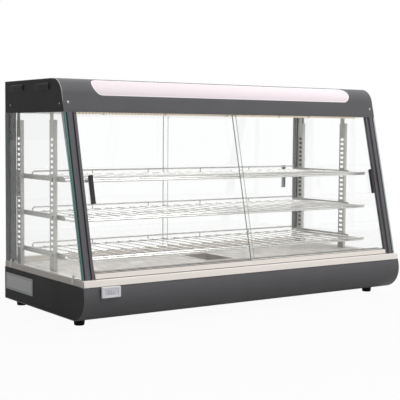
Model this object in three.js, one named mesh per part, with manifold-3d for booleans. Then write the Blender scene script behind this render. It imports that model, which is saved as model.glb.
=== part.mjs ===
// Heated display case for a shop counter, modelled in millimetres with +Z up.
// A round-nosed base carries the heater, a stainless ledge, and a glass body whose
// front leans back. Two pairs of sliding doors, three wire shelves on hooked
// brackets, and a hood with a light window complete it.
// X runs along the width, Y from the leaning front to the rear, Z up from the floor.

import * as THREE from 'three';
import { mergeVertices } from 'three/addons/utils/BufferGeometryUtils.js';
import Module from 'manifold-3d';

const wasm = await Module();
wasm.setup();

// Driving dimensions of the whole case
const case_width = 1200;
const case_depth = 525;
const foot_height = 22.5;
const base_height = 99.5;
const ledge_height = 18;
const glass_height = 460;
const hood_height = 96;
const front_lean_deg = 13.3;
const front_setback = 19.3;

// Clearances shared by all the pieces
const seat_gap = 0.3;
const edge_gap = 1;
const cut_over = 2;

// Base: sheet thicknesses, nose radii and flanges
const base_sheet = 1.5;
const side_sheet = 2;
const toe_radius = 67;
const brow_radius = 90;
const toe_return = 60;
const brow_flange = 22;
const side_flange = 13;
const vent_slot_width = 5;
const vent_slot_length = 44;
const vent_pitch = 18;
const vent_group_x = 330;
const vent_count = 5;
const pan_slot_width = 10;
const pan_slot_length = 70;
const pan_slot_pitch = 120;
const pan_slot_y = 110;
const pan_slot_count = 7;

// Feet
const foot_radius = 17;
const foot_tip_radius = 14;
const foot_chamfer = 2;
const foot_inset_x = 42;
const foot_front_inset = 110.5;
const foot_rear_inset = 31.5;

// Ledge ring round the deck, and the clips that hold the side glass
const ledge_sheet = 1.5;
const ledge_stand = 11.7;
const ledge_side_flange = 20;
const ledge_front_flange = 55;
const ledge_rear_flange = 27.5;
const deck_drop = 3;
const deck_sheet = 1.5;
const deck_lip = 8;
const deck_gap = 0.5;
const clip_sheet = 1.6;
const clip_length = 12;
const clip_height = 8.7;
const clip_front_inset = 71.5;
const clip_rear_inset = 41;
const clip_mid_inset = 85;

// Water tray
const tray_width = 118;
const tray_length = 178;
const tray_depth = 40;
const tray_rim = 6;
const tray_sheet = 1.5;
const tray_corner = 4;

// Heater rod and its saddles
const heater_diameter = 8.5;
const heater_level = 41.5;
const heater_pitch = 75;
const heater_end_inset = 140;
const heater_tail = 25;
const heater_legs = 4;
const saddle_sheet = 3;
const saddle_spacing = 350;
const saddle_lip = 8;

// Front posts
const front_post_face = 20;
const front_post_return = 9;
const post_groove = 2;
const post_groove_depth = 2;
const post_sheet = 1.5;
const post_inner_leg = 13.7;
const post_outer_leg = 8.5;
const post_inset = 13;
const gasket_width = 3.2;
const gusset_depth = 17;
const gusset_height = 140;

// Rear posts
const rear_post_width = 21.5;
const rear_post_depth = 27;
const rear_post_leg = 13.5;
const rear_leg_depth = 14;
const glass_inset = 3.5;

// Glass panes and door tracks
const side_glass_thickness = 6;
const pane_thickness = 5;
const pane_pitch = 18;
const outer_pane_back = 8;
const groove_clear = 1;
const track_sheet = 1.5;
const track_height = 16;
const track_floor = 0.5;
const track_tail = 7;
const track_lip = 1.6;
const pane_lift = 3;
const upper_track_lift = 2;
const upper_track_depth = 14;
const front_meet_x = 5.5;
const front_overlap = 26;
const rear_track_sheet = 1.2;
const rear_track_height = 12;
const rear_pane_inset = 2;
const rear_meet_x = -14.9;
const rear_overlap = 29.7;

// Door pulls
const pull_width = 12;
const pull_height = 82;
const pull_stand = 11.7;
const pull_waist = 1.4;
const pull_flare = 6;
const pull_scoop = 5;
const pull_scoop_inset = 8;
const pull_level = 241.5;
const left_pull_inset = 31.3;
const right_pull_inset = 12.5;
const rear_left_pull_inset = 12.5;
const rear_right_pull_inset = 55;

// Slotted uprights
const upright_web = 27;
const upright_flange = 11;
const upright_sheet = 1.5;
const upright_inset_x = 34;
const upright_rear_inset = 41;
const upright_front_inset = 257;
const upright_shoulder = 22;
const upright_neck = 20;
const slot_width = 13.5;
const slot_height = 8;
const slot_pitch = 16;
const first_slot_rise = 48;
const slot_count = 22;

// Hooked shelf brackets
const bracket_sheet = 2;
const bracket_height = 15;
const bracket_leg = 10;
const bracket_leg_sheet = 1.5;
const bracket_inset_x = 44;
const bracket_overhang = 55;
const bracket_rear_run = 6.5;
const bracket_nose = 6;
const hook_width = 10;
const hook_height = 6;
const hook_sheet = 2.6;
const hook_drop = 6;
const bracket_slot_drop = 5;
const shelf_slot_steps = 7;
const shelf_count = 3;

// Wire shelves
const shelf_frame_wire = 6;
const shelf_rail_wire = 5;
const shelf_deck_wire = 4;
const shelf_deck_count = 25;
const shelf_front_inset = 122.5;
const shelf_rear_inset = 50;
const shelf_tip_inset = 42;
const shelf_corner = 18;
const shelf_shoulder = 12;
const shelf_weld = 1.2;
const shelf_front_rise = 5.4;
const shelf_guard_rise = 15.7;
const shelf_guard_posts = 6;
const shelf_edge_gap = 1;
const shelf_mid_share = 0.51;

// Hood, its light window and side louvres
const hood_inset = 3.5;
const hood_sheet = 1.5;
const hood_nose_radius = 55;
const window_end_inset = 105;
const window_height = 58.5;
const window_rise = 7;
const window_groove = 1.5;
const window_recess = 0.8;
const window_thickness = 2.5;
const window_flange = 6;
const louvre_length = 104;
const louvre_height = 21;
const louvre_stand = 3.1;
const louvre_sheet = 1;
const louvre_rear_inset = 27;
const louvre_pitch = 175;
const louvre_drop = 12;

// Ceiling, lamp and light strip
const ceiling_sheet = 1.5;
const lamp_diameter = 16;
const lamp_end_inset = 150;
const lamp_holder_sheet = 8;
const lamp_holder_width = 20;
const lamp_holder_rise = 13;
const strip_width = 10;
const strip_depth = 5.5;
const strip_end_inset = 55;
const strip_chamfer = 1.5;
const strip_set_back = 3;
const strip_clip_width = 6;
const strip_clip_grow = 0.8;

// Thermometer in the base front
const thermometer_stand = 7;
const thermometer_width = 60;
const thermometer_height = 31;
const thermometer_inset_x = 80;
const thermometer_drop = 0.5;
const thermometer_rim = 8;
const thermometer_rim_top = 6.5;
const thermometer_pocket = 2.2;
const thermometer_body = 26;
const thermometer_body_inset = 3;
const thermometer_corner = 3;
const screen_thickness = 1.4;

// Controls on the rear panel
const control_level = 50;
const knob_stand = 19.5;
const knob_radius = 15;
const knob_skirt_radius = 19;
const knob_skirt = 3.5;
const knob_dome = 2;
const knob_pointer = 4;
const shaft_radius = 3;
const shaft_length = 12;
const thermostat_inset_x = 300;
const thermostat_size = 44;
const thermostat_depth = 34;
const thermostat_bush = 8;
const switch_width = 30;
const switch_height = 22;
const switch_bezel = 2;
const switch_rim = 2;
const switch_wall = 1.5;
const switch_depth = 22;
const switch_cavity = 11;
const light_switch_inset_x = 230;
const heat_switch_inset_x = 180;
const rocker_depth = 9;
const rocker_rise = 3;
const rocker_notch = 1.6;
const rocker_end_clear = 1.2;
const rocker_tilt_deg = 8;
const pilot_inset_x = 135;
const pilot_radius = 7;
const pilot_body_radius = 4.6;
const pilot_stand = 6;
const pilot_bezel = 2;
const pilot_depth = 24;
const gland_inset_x = 70;
const gland_level = 34;
const gland_nut_radius = 13;
const gland_nut = 5;
const gland_neck_radius = 9.5;
const gland_tip_radius = 7;
const gland_stand = 18;
const gland_thread_radius = 8;
const gland_bore_radius = 4.2;
const gland_inside = 12;
const terminal_length = 62;
const terminal_width = 24;
const terminal_height = 18;
const terminal_inset_x = 120;
const terminal_rear_inset = 40;
const terminal_rib = 3;
const terminal_ways = 4;

// Facet counts
const toe_steps = 8;
const brow_steps = 3;
const nose_steps = 10;
const corner_steps = 3;
const turn_steps = 16;
const wire_sides = 6;
const thin_wire_sides = 5;
const bend_steps = 6;
const notch_steps = 4;

// Levels and planes worked out from the driving dimensions
const half_width = case_width / 2;
const rear_face = case_depth / 2;
const front_face = -rear_face;
const base_bottom = foot_height;
const base_top = base_bottom + base_height;
const ledge_top = base_top + ledge_height;
const glass_top = ledge_top + glass_height;
const hood_top = glass_top + hood_height;
const pan_top = base_bottom + base_sheet;
const deck_top = ledge_top - deck_drop;
const rear_inner = rear_face - base_sheet;
const lean = THREE.MathUtils.degToRad(front_lean_deg);

// Y of the leaning front at height z, or of a plane parallel to it and behind it.
function front_y(z, behind = 0) {
  return front_face + front_setback + (z - ledge_top) * Math.tan(lean) + behind / Math.cos(lean);
}

const x_axis = new THREE.Vector3(1, 0, 0);
const y_axis = new THREE.Vector3(0, 1, 0);
const z_axis = new THREE.Vector3(0, 0, 1);

// A closed geometry becomes a solid that can be joined and cut.
function solid_of(geometry) {
  geometry.deleteAttribute('normal');
  geometry.deleteAttribute('uv');
  const merged = mergeVertices(geometry);
  const kept = [];
  const index = merged.index.array;
  for (let i = 0; i < index.length; i += 3) {
    const [a, b, c] = [index[i], index[i + 1], index[i + 2]];
    if (a !== b && b !== c && c !== a) kept.push(a, b, c);
  }
  return new wasm.Manifold(new wasm.Mesh({
    numProp: 3,
    vertProperties: new Float32Array(merged.attributes.position.array),
    triVerts: new Uint32Array(kept),
  }));
}

function joined(solids) {
  return solids.reduce((whole, next) => whole.add(next));
}

function extruded(points, depth) {
  const shape = new THREE.Shape(points.map(([a, b]) => new THREE.Vector2(a, b)));
  return new THREE.ExtrudeGeometry(shape, { depth, bevelEnabled: false });
}

// A prism between two stations along the axis that the frame turns its outline to.
function prism(points, from, to, frame, holes) {
  const solid = solid_of(extruded(points, Math.abs(to - from)).applyMatrix4(frame(from, to)));
  if (holes.length === 0) return solid;
  const low = Math.min(from, to) - cut_over;
  const high = Math.max(from, to) + cut_over;
  return solid.subtract(joined(holes.map((hole) => prism(hole, low, high, frame, []))));
}

const x_frame = (a, b) => new THREE.Matrix4().makeBasis(y_axis, z_axis, x_axis).setPosition(Math.min(a, b), 0, 0);
const y_frame = (a, b) => new THREE.Matrix4().makeBasis(x_axis, z_axis, y_axis.clone().negate())
  .setPosition(0, Math.max(a, b), 0);
const z_frame = (a, b) => new THREE.Matrix4().makeTranslation(0, 0, Math.min(a, b));

// Prisms of a (y, z), (x, z) or (x, y) outline along each axis.
const along_x = (points, x0, x1, holes = []) => prism(points, x0, x1, x_frame, holes);
const along_y = (points, y0, y1, holes = []) => prism(points, y0, y1, y_frame, holes);
const along_z = (points, z0, z1, holes = []) => prism(points, z0, z1, z_frame, holes);

function block(x0, x1, y0, y1, z0, z1) {
  const geometry = new THREE.BoxGeometry(Math.abs(x1 - x0), Math.abs(y1 - y0), Math.abs(z1 - z0));
  return solid_of(geometry.translate((x0 + x1) / 2, (y0 + y1) / 2, (z0 + z1) / 2));
}

// A turned body: the profile's first number is the radius, the second runs along the axis.
function turned(profile, steps) {
  const points = profile.map(([r, h]) => new THREE.Vector2(r, h));
  return new THREE.LatheGeometry(points, steps);
}

function turned_up(profile, steps = turn_steps) {
  return solid_of(turned(profile, steps).rotateX(Math.PI / 2));
}

function turned_back(profile, steps = turn_steps) {
  return solid_of(turned(profile, steps));
}

function arc(centre_a, centre_b, radius, from_deg, to_deg, steps) {
  const points = [];
  for (let i = 0; i <= steps; i += 1) {
    const angle = THREE.MathUtils.degToRad(from_deg + (to_deg - from_deg) * i / steps);
    points.push([centre_a + radius * Math.cos(angle), centre_b + radius * Math.sin(angle)]);
  }
  return points;
}

// Corners that meet in one point, as at a slot's half-round end, are kept once.
function round_rectangle(centre_a, centre_b, width, height, radius, steps = corner_steps) {
  const a = width / 2 - radius;
  const b = height / 2 - radius;
  const points = [
    ...arc(centre_a + a, centre_b + b, radius, 0, 90, steps),
    ...arc(centre_a - a, centre_b + b, radius, 90, 180, steps),
    ...arc(centre_a - a, centre_b - b, radius, 180, 270, steps),
    ...arc(centre_a + a, centre_b - b, radius, 270, 360, steps),
  ];
  return points.filter(([p, q], i) => {
    const [r, s] = points[(i + 1) % points.length];
    return Math.hypot(p - r, q - s) > radius / turn_steps / turn_steps;
  });
}

function rectangle(a0, a1, b0, b1) {
  return [[a0, b0], [a1, b0], [a1, b1], [a0, b1]];
}

// The outline of a bent sheet: the path is its outer skin and the thickness goes to the right.
function sheet_outline(path, thickness) {
  const heading = (p, q) => {
    const length = Math.hypot(q[0] - p[0], q[1] - p[1]);
    return [(q[0] - p[0]) / length, (q[1] - p[1]) / length];
  };
  const inner = path.map((point, i) => {
    const into = heading(path[Math.max(i - 1, 0)], path[Math.max(i, 1)]);
    const out = heading(path[Math.min(i, path.length - 2)], path[Math.min(i + 1, path.length - 1)]);
    const mitre = [into[1] + out[1], -into[0] - out[0]];
    const grow = thickness / (mitre[0] * into[1] - mitre[1] * into[0]);
    return [point[0] + mitre[0] * grow, point[1] + mitre[1] * grow];
  });
  return [...path, ...inner.reverse()];
}

// A path through listed points, one step to each point.
class Route extends THREE.Curve {
  constructor(points) {
    super();
    this.points = points.map(([x, y, z]) => new THREE.Vector3(x, y, z));
  }

  getPoint(t, target = new THREE.Vector3()) {
    const last = this.points.length - 1;
    const place = Math.min(Math.max(t, 0), 1) * last;
    const i = Math.min(Math.floor(place), last - 1);
    return target.lerpVectors(this.points[i], this.points[i + 1], place - i);
  }

  getUtoTmapping(u) {
    return u;
  }
}

function rod(points, diameter, sides = wire_sides) {
  const section = [];
  for (let i = 0; i < sides; i += 1) {
    const angle = (i + 1 / 2) / sides * Math.PI * 2;
    section.push(new THREE.Vector2(diameter / 2 * Math.cos(angle), diameter / 2 * Math.sin(angle)));
  }
  return solid_of(new THREE.ExtrudeGeometry(new THREE.Shape(section), {
    steps: points.length - 1, bevelEnabled: false, extrudePath: new Route(points),
  }));
}

const display_case = new THREE.Group();
display_case.position.y = (thermometer_stand - knob_stand) / 2;

function piece(name, solid, material, place = {}, parent = display_case) {
  const { vertProperties, triVerts } = solid.getMesh();
  const geometry = new THREE.BufferGeometry();
  geometry.setAttribute('position', new THREE.BufferAttribute(vertProperties, 3));
  geometry.setIndex(new THREE.BufferAttribute(triVerts, 1));
  geometry.computeVertexNormals();
  const mesh = new THREE.Mesh(geometry, material);
  mesh.name = name;
  mesh.position.set(place.x ?? 0, place.y ?? 0, place.z ?? 0);
  mesh.rotation.x = place.tilt ?? 0;
  parent.add(mesh);
}

function paint(color, roughness, metalness) {
  return new THREE.MeshStandardMaterial({ color, roughness, metalness });
}

const charcoal = paint(0x5b5b5e, 0.5, 0.3);
const black_panel = paint(0x363636, 0.55, 0.3);
const stainless = paint(0xece6e0, 0.32, 0.9);
const upright_steel = paint(0xb9b5b1, 0.35, 0.9);
const post_steel = paint(0x6a666c, 0.4, 0.7);
const galvanised = paint(0xa8aaab, 0.5, 0.8);
const bright_wire = paint(0xd9d9d6, 0.22, 1);
const rubber = paint(0x151515, 0.9, 0);
const black_plastic = paint(0x1b1b1c, 0.5, 0);
const grey_plastic = paint(0xa2a6ab, 0.45, 0);
const white_plastic = paint(0xeeecea, 0.45, 0);
const diffuser = paint(0xefe6ec, 0.35, 0);
const lcd = paint(0xb9b4cc, 0.2, 0);
const amber_lens = paint(0xd9772a, 0.15, 0);
const heater_steel = paint(0x54504c, 0.45, 0.9);
const liner_white = paint(0xe8e4e0, 0.5, 0.2);
const glass = new THREE.MeshStandardMaterial({
  color: 0xd5e8e2, roughness: 0.04, metalness: 0, transparent: true, opacity: 0.3,
});

const sides = [['left', -1], ['right', 1]];

// Base: the front nose, as points of its skin moved inwards by an offset, from toe to brow.
function nose_points(offset) {
  const level = base_bottom + toe_radius;
  const brow = brow_radius - offset;
  const rise = THREE.MathUtils.radToDeg(Math.asin((base_top - level) / brow));
  return [
    ...arc(front_face + toe_radius, level, toe_radius - offset, 270, 180, toe_steps),
    ...arc(front_face + brow_radius, level, brow, 180, 180 - rise, brow_steps).slice(1),
  ];
}

const thermometer_x = -half_width + thermometer_inset_x;
const thermometer_z = base_top - thermometer_drop - thermometer_height / 2;
const return_end = front_face + toe_radius + toe_return;
const nose_skin = nose_points(0);
const brow_edge = nose_skin[nose_skin.length - 1][0];

function thermometer_block(inset, y0, y1) {
  const width = thermometer_width / 2 - inset;
  const height = thermometer_height / 2 - inset;
  return block(thermometer_x - width, thermometer_x + width, y0, y1,
    thermometer_z - height, thermometer_z + height);
}

const front_panel_path = [
  [return_end, base_bottom], ...nose_skin, [brow_edge + brow_flange, base_top],
];
piece('base_front_panel',
  along_x(sheet_outline(front_panel_path, base_sheet), -half_width, half_width)
    .subtract(thermometer_block(thermometer_body_inset - seat_gap,
      front_face - cut_over, front_face + brow_radius)),
  charcoal);

// Side panels lie inside the wrapped nose and carry an inward flange along the top.
const under_flange = base_top - base_sheet - seat_gap;
const side_nose = nose_points(base_sheet + seat_gap).filter(([, z]) => z < under_flange);
const flange_end = brow_edge + brow_flange + seat_gap;
const side_outline = [
  [rear_inner, pan_top], [return_end + seat_gap, pan_top],
  [return_end + seat_gap, pan_top + seat_gap], ...side_nose,
  [brow_edge + base_sheet + seat_gap * 2, under_flange],
  [flange_end, under_flange], [flange_end, base_top], [rear_inner, base_top],
];
for (const [side, sign] of sides) {
  const plate = along_x(side_outline, sign * (half_width - side_sheet), sign * half_width);
  const flange = block(sign * (half_width - side_sheet - side_flange), sign * (half_width - side_sheet / 2),
    flange_end, rear_inner, base_top - side_sheet, base_top);
  piece(`base_${side}_panel`, plate.add(flange), black_panel);
}

// Rear panel with vent slots and the cut-outs of the controls.
const control_z = base_bottom + control_level;
const gland_z = base_bottom + gland_level;
const thermostat_x = -half_width + thermostat_inset_x;
const light_switch_x = -half_width + light_switch_inset_x;
const heat_switch_x = -half_width + heat_switch_inset_x;
const pilot_x = -half_width + pilot_inset_x;
const gland_x = -half_width + gland_inset_x;
const circle = (x, z, radius) => arc(x, z, radius, 0, 360, turn_steps).slice(0, turn_steps);
const rear_holes = [
  circle(thermostat_x, control_z, thermostat_bush + seat_gap),
  circle(pilot_x, control_z, pilot_body_radius + seat_gap),
  circle(gland_x, gland_z, gland_thread_radius + seat_gap),
];
const switch_hole_x = switch_width / 2 - switch_rim + seat_gap;
const switch_hole_z = switch_height / 2 - switch_rim + seat_gap;
for (const x of [light_switch_x, heat_switch_x]) {
  rear_holes.push(rectangle(x - switch_hole_x, x + switch_hole_x,
    control_z - switch_hole_z, control_z + switch_hole_z));
}
for (const group of [0, 1]) {
  for (let i = 0; i < vent_count; i += 1) {
    const x = group * vent_group_x + (i - (vent_count - 1) / 2) * vent_pitch;
    rear_holes.push(rectangle(x - vent_slot_width / 2, x + vent_slot_width / 2,
      control_z - vent_slot_length / 2, control_z + vent_slot_length / 2));
  }
}
piece('base_rear_panel',
  along_y(rectangle(-half_width, half_width, pan_top, base_top), rear_inner, rear_face, rear_holes),
  charcoal);

// Bottom pan with vent slots and the notched saddles that hold the heater rod.
const pan_holes = [];
for (let i = 0; i < pan_slot_count; i += 1) {
  const x = (i - (pan_slot_count - 1) / 2) * pan_slot_pitch;
  pan_holes.push(rectangle(x - pan_slot_width / 2, x + pan_slot_width / 2,
    pan_slot_y - pan_slot_length, pan_slot_y));
}
const heater_z = pan_top + heater_level;
const heater_half_length = half_width - heater_end_inset;
const heater_centre_y = (return_end + rear_face) / 2;
const leg_y = (i) => heater_centre_y + (i - (heater_legs - 1) / 2) * heater_pitch;
const notch_radius = (heater_diameter / 2 + seat_gap) / Math.cos(Math.PI / notch_steps / 2);
const saddle_top = heater_z + seat_gap;
const saddle_path = [
  [leg_y(0) - notch_radius - saddle_lip, pan_top - base_sheet / 2],
  [leg_y(0) - notch_radius - saddle_lip, saddle_top],
];
for (let i = 0; i < heater_legs; i += 1) {
  saddle_path.push([leg_y(i) - notch_radius, saddle_top],
    ...arc(leg_y(i), heater_z, notch_radius, 180, 360, notch_steps),
    [leg_y(i) + notch_radius, saddle_top]);
}
saddle_path.push([leg_y(heater_legs - 1) + notch_radius + saddle_lip, saddle_top],
  [leg_y(heater_legs - 1) + notch_radius + saddle_lip, pan_top - base_sheet / 2]);
const saddles = [-1, 0, 1].map((k) => along_x(saddle_path,
  k * saddle_spacing - saddle_sheet / 2, k * saddle_spacing + saddle_sheet / 2));
const pan_plate = along_z(rectangle(-half_width, half_width, return_end + seat_gap, rear_face),
  base_bottom, pan_top, pan_holes);
piece('base_bottom_pan', joined([pan_plate, ...saddles]), galvanised);

// Heater: one rod laid in parallel legs joined by half-round turns.
const heater_path = [];
for (let i = 0; i < heater_legs; i += 1) {
  const heading = i % 2 === 0 ? 1 : -1;
  const tail = i === 0 || i === heater_legs - 1 ? heater_tail : 0;
  const start_tail = i === 0 ? tail : 0;
  heater_path.push([-heading * (heater_half_length + start_tail), leg_y(i), heater_z]);
  if (i < heater_legs - 1) {
    const turn = arc(0, leg_y(i) + heater_pitch / 2, heater_pitch / 2, -90, 90, bend_steps);
    for (const [a, b] of turn.slice(0, bend_steps)) {
      heater_path.push([heading * (heater_half_length + a), b, heater_z]);
    }
  } else {
    heater_path.push([heading * (heater_half_length + tail), leg_y(i), heater_z]);
  }
}
piece('heating_element', rod(heater_path, heater_diameter, wire_sides + 2), heater_steel);

// Feet: tapered rubber, one at each corner.
const foot = turned_up([
  [0, 0], [foot_tip_radius, 0], [foot_tip_radius + foot_chamfer / 2, foot_chamfer],
  [foot_radius, foot_height - foot_chamfer], [foot_radius, foot_height], [0, foot_height],
]);
for (const [side, sign] of sides) {
  const x = sign * (half_width - foot_inset_x);
  piece(`foot_front_${side}`, foot, rubber, { x, y: front_face + foot_front_inset });
  piece(`foot_rear_${side}`, foot, rubber, { x, y: rear_face - foot_rear_inset });
}

// Ledge: a folded ring whose front face runs parallel with the leaning glass.
const open_x = half_width - ledge_side_flange;
const open_front = front_y(ledge_top) - ledge_stand + ledge_front_flange;
const open_rear = rear_face - ledge_rear_flange;
const ledge_skin = (offset, low, high) => [
  [front_y(low, 0) - ledge_stand + offset, low], [front_y(high, 0) - ledge_stand + offset, high],
  [rear_face - offset, high], [rear_face - offset, low],
];
const seat_level = deck_top - deck_sheet;
const clip_x = half_width - glass_inset + seat_gap;
let ledge = along_x(ledge_skin(0, base_top, ledge_top), -half_width, half_width)
  .subtract(along_x(ledge_skin(ledge_sheet, base_top - cut_over, ledge_top - ledge_sheet),
    -half_width + ledge_sheet, half_width - ledge_sheet))
  .subtract(block(-open_x, open_x, open_front, open_rear, base_top, ledge_top + cut_over));
const deck_seat = block(-open_x - ledge_sheet, open_x + ledge_sheet, open_front - ledge_sheet,
  open_rear + ledge_sheet, seat_level - ledge_sheet, ledge_top)
  .subtract(block(-open_x, open_x, open_front, open_rear, seat_level, ledge_top + cut_over))
  .subtract(block(-open_x + deck_lip, open_x - deck_lip, open_front + deck_lip,
    open_rear - deck_lip, base_top, ledge_top + cut_over));
ledge = ledge.add(deck_seat);
for (const [, sign] of sides) {
  for (const y of [front_face + clip_front_inset, rear_face - clip_rear_inset, rear_face - clip_mid_inset]) {
    ledge = ledge.add(block(sign * clip_x, sign * (clip_x + clip_sheet),
      y - clip_length / 2, y + clip_length / 2, ledge_top - ledge_sheet / 2, ledge_top + clip_height));
  }
}
piece('ledge_frame', ledge, stainless);

// Deck plate with the opening of the water tray, and the tray that lifts out of it.
const bowl_width = tray_width - tray_rim * 2;
const bowl_length = tray_length - tray_rim * 2;
const tray_centre_y = (open_front + open_rear) / 2;
const opening_x = (bowl_width + edge_gap) / 2;
const opening_y = (bowl_length + edge_gap) / 2;
const tray_opening = rectangle(-opening_x, opening_x, tray_centre_y - opening_y, tray_centre_y + opening_y);
piece('deck_plate',
  along_z(rectangle(-open_x + deck_gap, open_x - deck_gap, open_front + deck_gap, open_rear - deck_gap),
    seat_level, deck_top, [tray_opening]),
  stainless);
const rim_bottom = deck_top + seat_gap;
const rim_top = rim_bottom + tray_sheet;
const tray = along_z(round_rectangle(0, tray_centre_y, tray_width, tray_length, tray_corner + tray_rim),
  rim_bottom, rim_top)
  .add(along_z(round_rectangle(0, tray_centre_y, bowl_width, bowl_length, tray_corner),
    rim_top - tray_depth, rim_top))
  .subtract(along_z(round_rectangle(0, tray_centre_y, bowl_width - tray_sheet * 2,
    bowl_length - tray_sheet * 2, tray_corner - tray_sheet),
  rim_top - tray_depth + tray_sheet, rim_top + cut_over));
piece('water_tray', tray, stainless);

// Front posts: a folded channel with a groove, leaned with the front, and a gusset at the top.
const post_outer = half_width - post_inset;
const post_inner = post_outer - front_post_face - post_groove - front_post_return;
const groove_outer = post_outer - front_post_face;
const groove_inner = groove_outer - post_groove;
const leaned = new THREE.Matrix4().set(1, 0, 0, 0, 0, 1, Math.tan(lean), 0, 0, 0, 1, 0, 0, 0, 0, 1);
function front_post(sign) {
  const path = [
    [post_outer, post_outer_leg], [post_outer, 0], [groove_outer, 0],
    [groove_outer, post_groove_depth], [post_inner, post_groove_depth], [post_inner, post_inner_leg],
  ];
  const section = sheet_outline(path, post_sheet).map(([x, y]) => [sign * x, y]);
  const gasket = rectangle(sign * (post_outer - post_sheet / 2), sign * (post_outer + gasket_width),
    0, post_outer_leg);
  const gusset = [
    [post_outer_leg - post_sheet, glass_height - gusset_height], [post_outer_leg, glass_height - gusset_height],
    [gusset_depth, glass_height], [post_outer_leg - post_sheet, glass_height],
  ];
  const upright = along_z(section, 0, glass_height)
    .add(along_z(gasket, 0, glass_height))
    .add(along_x(gusset, sign * (post_outer - post_sheet), sign * post_outer));
  const { vertProperties, triVerts } = upright.getMesh();
  const geometry = new THREE.BufferGeometry();
  geometry.setAttribute('position', new THREE.BufferAttribute(vertProperties, 3));
  geometry.setIndex(new THREE.BufferAttribute(triVerts, 1));
  return solid_of(geometry.applyMatrix4(leaned));
}
for (const [side, sign] of sides) {
  piece(`front_post_${side}`, front_post(sign), post_steel, { y: front_y(ledge_top), z: ledge_top });
}

// Rear posts: an L-shaped hollow section whose leg closes the gap beside the rear doors.
const rear_post_outer = half_width - glass_inset + edge_gap / 2;
const rear_post_inner = rear_post_outer - rear_post_width;
const rear_leg_inner = rear_post_inner - rear_post_leg;
const rear_post_front = rear_face - rear_post_depth;
const rear_leg_front = rear_face - rear_leg_depth;
for (const [side, sign] of sides) {
  const section = (t) => [
    [rear_post_inner + t, rear_post_front + t], [rear_post_outer - t, rear_post_front + t],
    [rear_post_outer - t, rear_face - t], [rear_leg_inner + t, rear_face - t],
    [rear_leg_inner + t, rear_leg_front + t], [rear_post_inner + t, rear_leg_front + t],
  ].map(([x, y]) => [sign * x, y]);
  piece(`rear_post_${side}`, along_z(section(0), ledge_top, glass_top, [section(post_sheet)]), post_steel);
}

// Side glass from the rear post to the leaning front edge.
const pane_top_gap = glass_top - seat_gap;
for (const [side, sign] of sides) {
  piece(`side_glass_${side}`,
    along_x([
      [front_y(ledge_top), ledge_top], [rear_post_front - seat_gap, ledge_top],
      [rear_post_front - seat_gap, pane_top_gap], [front_y(pane_top_gap), pane_top_gap],
    ], sign * (half_width - glass_inset - side_glass_thickness), sign * (half_width - glass_inset)),
    glass);
}

// Door tracks. Each is one folded strip with two grooves. Grooves of the front pair lean.
const front_backs = [outer_pane_back, outer_pane_back + pane_pitch];
const groove_width = pane_thickness + groove_clear * 2;
const track_half = post_inner - edge_gap / 2;
const land = ledge_top + track_height;
const floor = ledge_top + track_sheet + track_floor;
const front_track_tail = front_backs[1] + pane_thickness + track_tail;
function grooved(place, backs, width, level_a, level_b, first, last) {
  const points = [...first];
  for (const back of backs) {
    points.push([place(level_a, back - groove_clear), level_a], [place(level_b, back - groove_clear), level_b],
      [place(level_b, back - groove_clear + width), level_b],
      [place(level_a, back - groove_clear + width), level_a]);
  }
  return [...points, ...last];
}
const lower_front_path = grooved(front_y, front_backs, groove_width, land, floor,
  [[front_y(ledge_top), ledge_top], [front_y(land), land]],
  [[front_y(land, front_track_tail), land], [front_y(ledge_top, front_track_tail), ledge_top]]);
const track_lip_strip = along_x([
  [front_y(ledge_top), ledge_top], [front_y(land), land],
  [front_y(land, track_lip), land], [front_y(ledge_top, track_lip), ledge_top],
], -groove_inner - edge_gap, groove_inner + edge_gap);
const below_ledge = block(-half_width, half_width, front_face, rear_face, base_top, ledge_top);
piece('front_lower_track',
  along_x(sheet_outline(lower_front_path, track_sheet), -track_half, track_half)
    .subtract(below_ledge).add(track_lip_strip),
  stainless);

const upper_land = glass_top + upper_track_lift;
const upper_roof = upper_land + upper_track_depth;
const upper_front = hood_sheet + seat_gap;
const upper_front_path = grooved(front_y, front_backs, groove_width, upper_land, upper_roof,
  [[front_y(upper_roof, upper_front), upper_roof], [front_y(upper_land, upper_front), upper_land]],
  [[front_y(upper_land, front_track_tail), upper_land], [front_y(upper_roof, front_track_tail), upper_roof]]);
piece('front_upper_track',
  along_x(sheet_outline(upper_front_path, -track_sheet), -track_half, track_half), stainless);

// Rear doors hang upright: the panes' front faces are measured from the rear of the case.
const rear_outer_y = rear_face - rear_pane_inset - pane_thickness;
const rear_backs = [rear_outer_y - pane_pitch, rear_outer_y];
const rear_track_half = rear_leg_inner - edge_gap / 2;
const straight = (level, y) => y;
const rear_floor = ledge_top + rear_track_sheet;
const rear_land = ledge_top + rear_track_height;
const lower_rear_path = grooved(straight, rear_backs, groove_width, rear_land, rear_floor, [], []);
lower_rear_path[lower_rear_path.length - 2][0] = rear_face - rear_track_sheet;
lower_rear_path[lower_rear_path.length - 1][0] = rear_face - rear_track_sheet;
piece('rear_lower_track',
  along_x(sheet_outline(lower_rear_path, rear_track_sheet), -rear_track_half, rear_track_half), stainless);
const upper_rear_path = grooved(straight, rear_backs, groove_width, upper_land, upper_roof, [], []).slice(0, -1);
upper_rear_path[upper_rear_path.length - 1][0] = rear_face - hood_sheet - seat_gap;
piece('rear_upper_track',
  along_x(sheet_outline(upper_rear_path, -rear_track_sheet), -rear_track_half, rear_track_half), stainless);

// Doors. The front pair slides in a group that leans with the posts: y is depth behind the face.
const front_sash = new THREE.Group();
front_sash.position.set(0, front_y(ledge_top), ledge_top);
front_sash.rotation.x = -lean;
display_case.add(front_sash);
const up_the_lean = (z, back) => (z - ledge_top + back * Math.sin(lean)) / Math.cos(lean);

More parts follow.
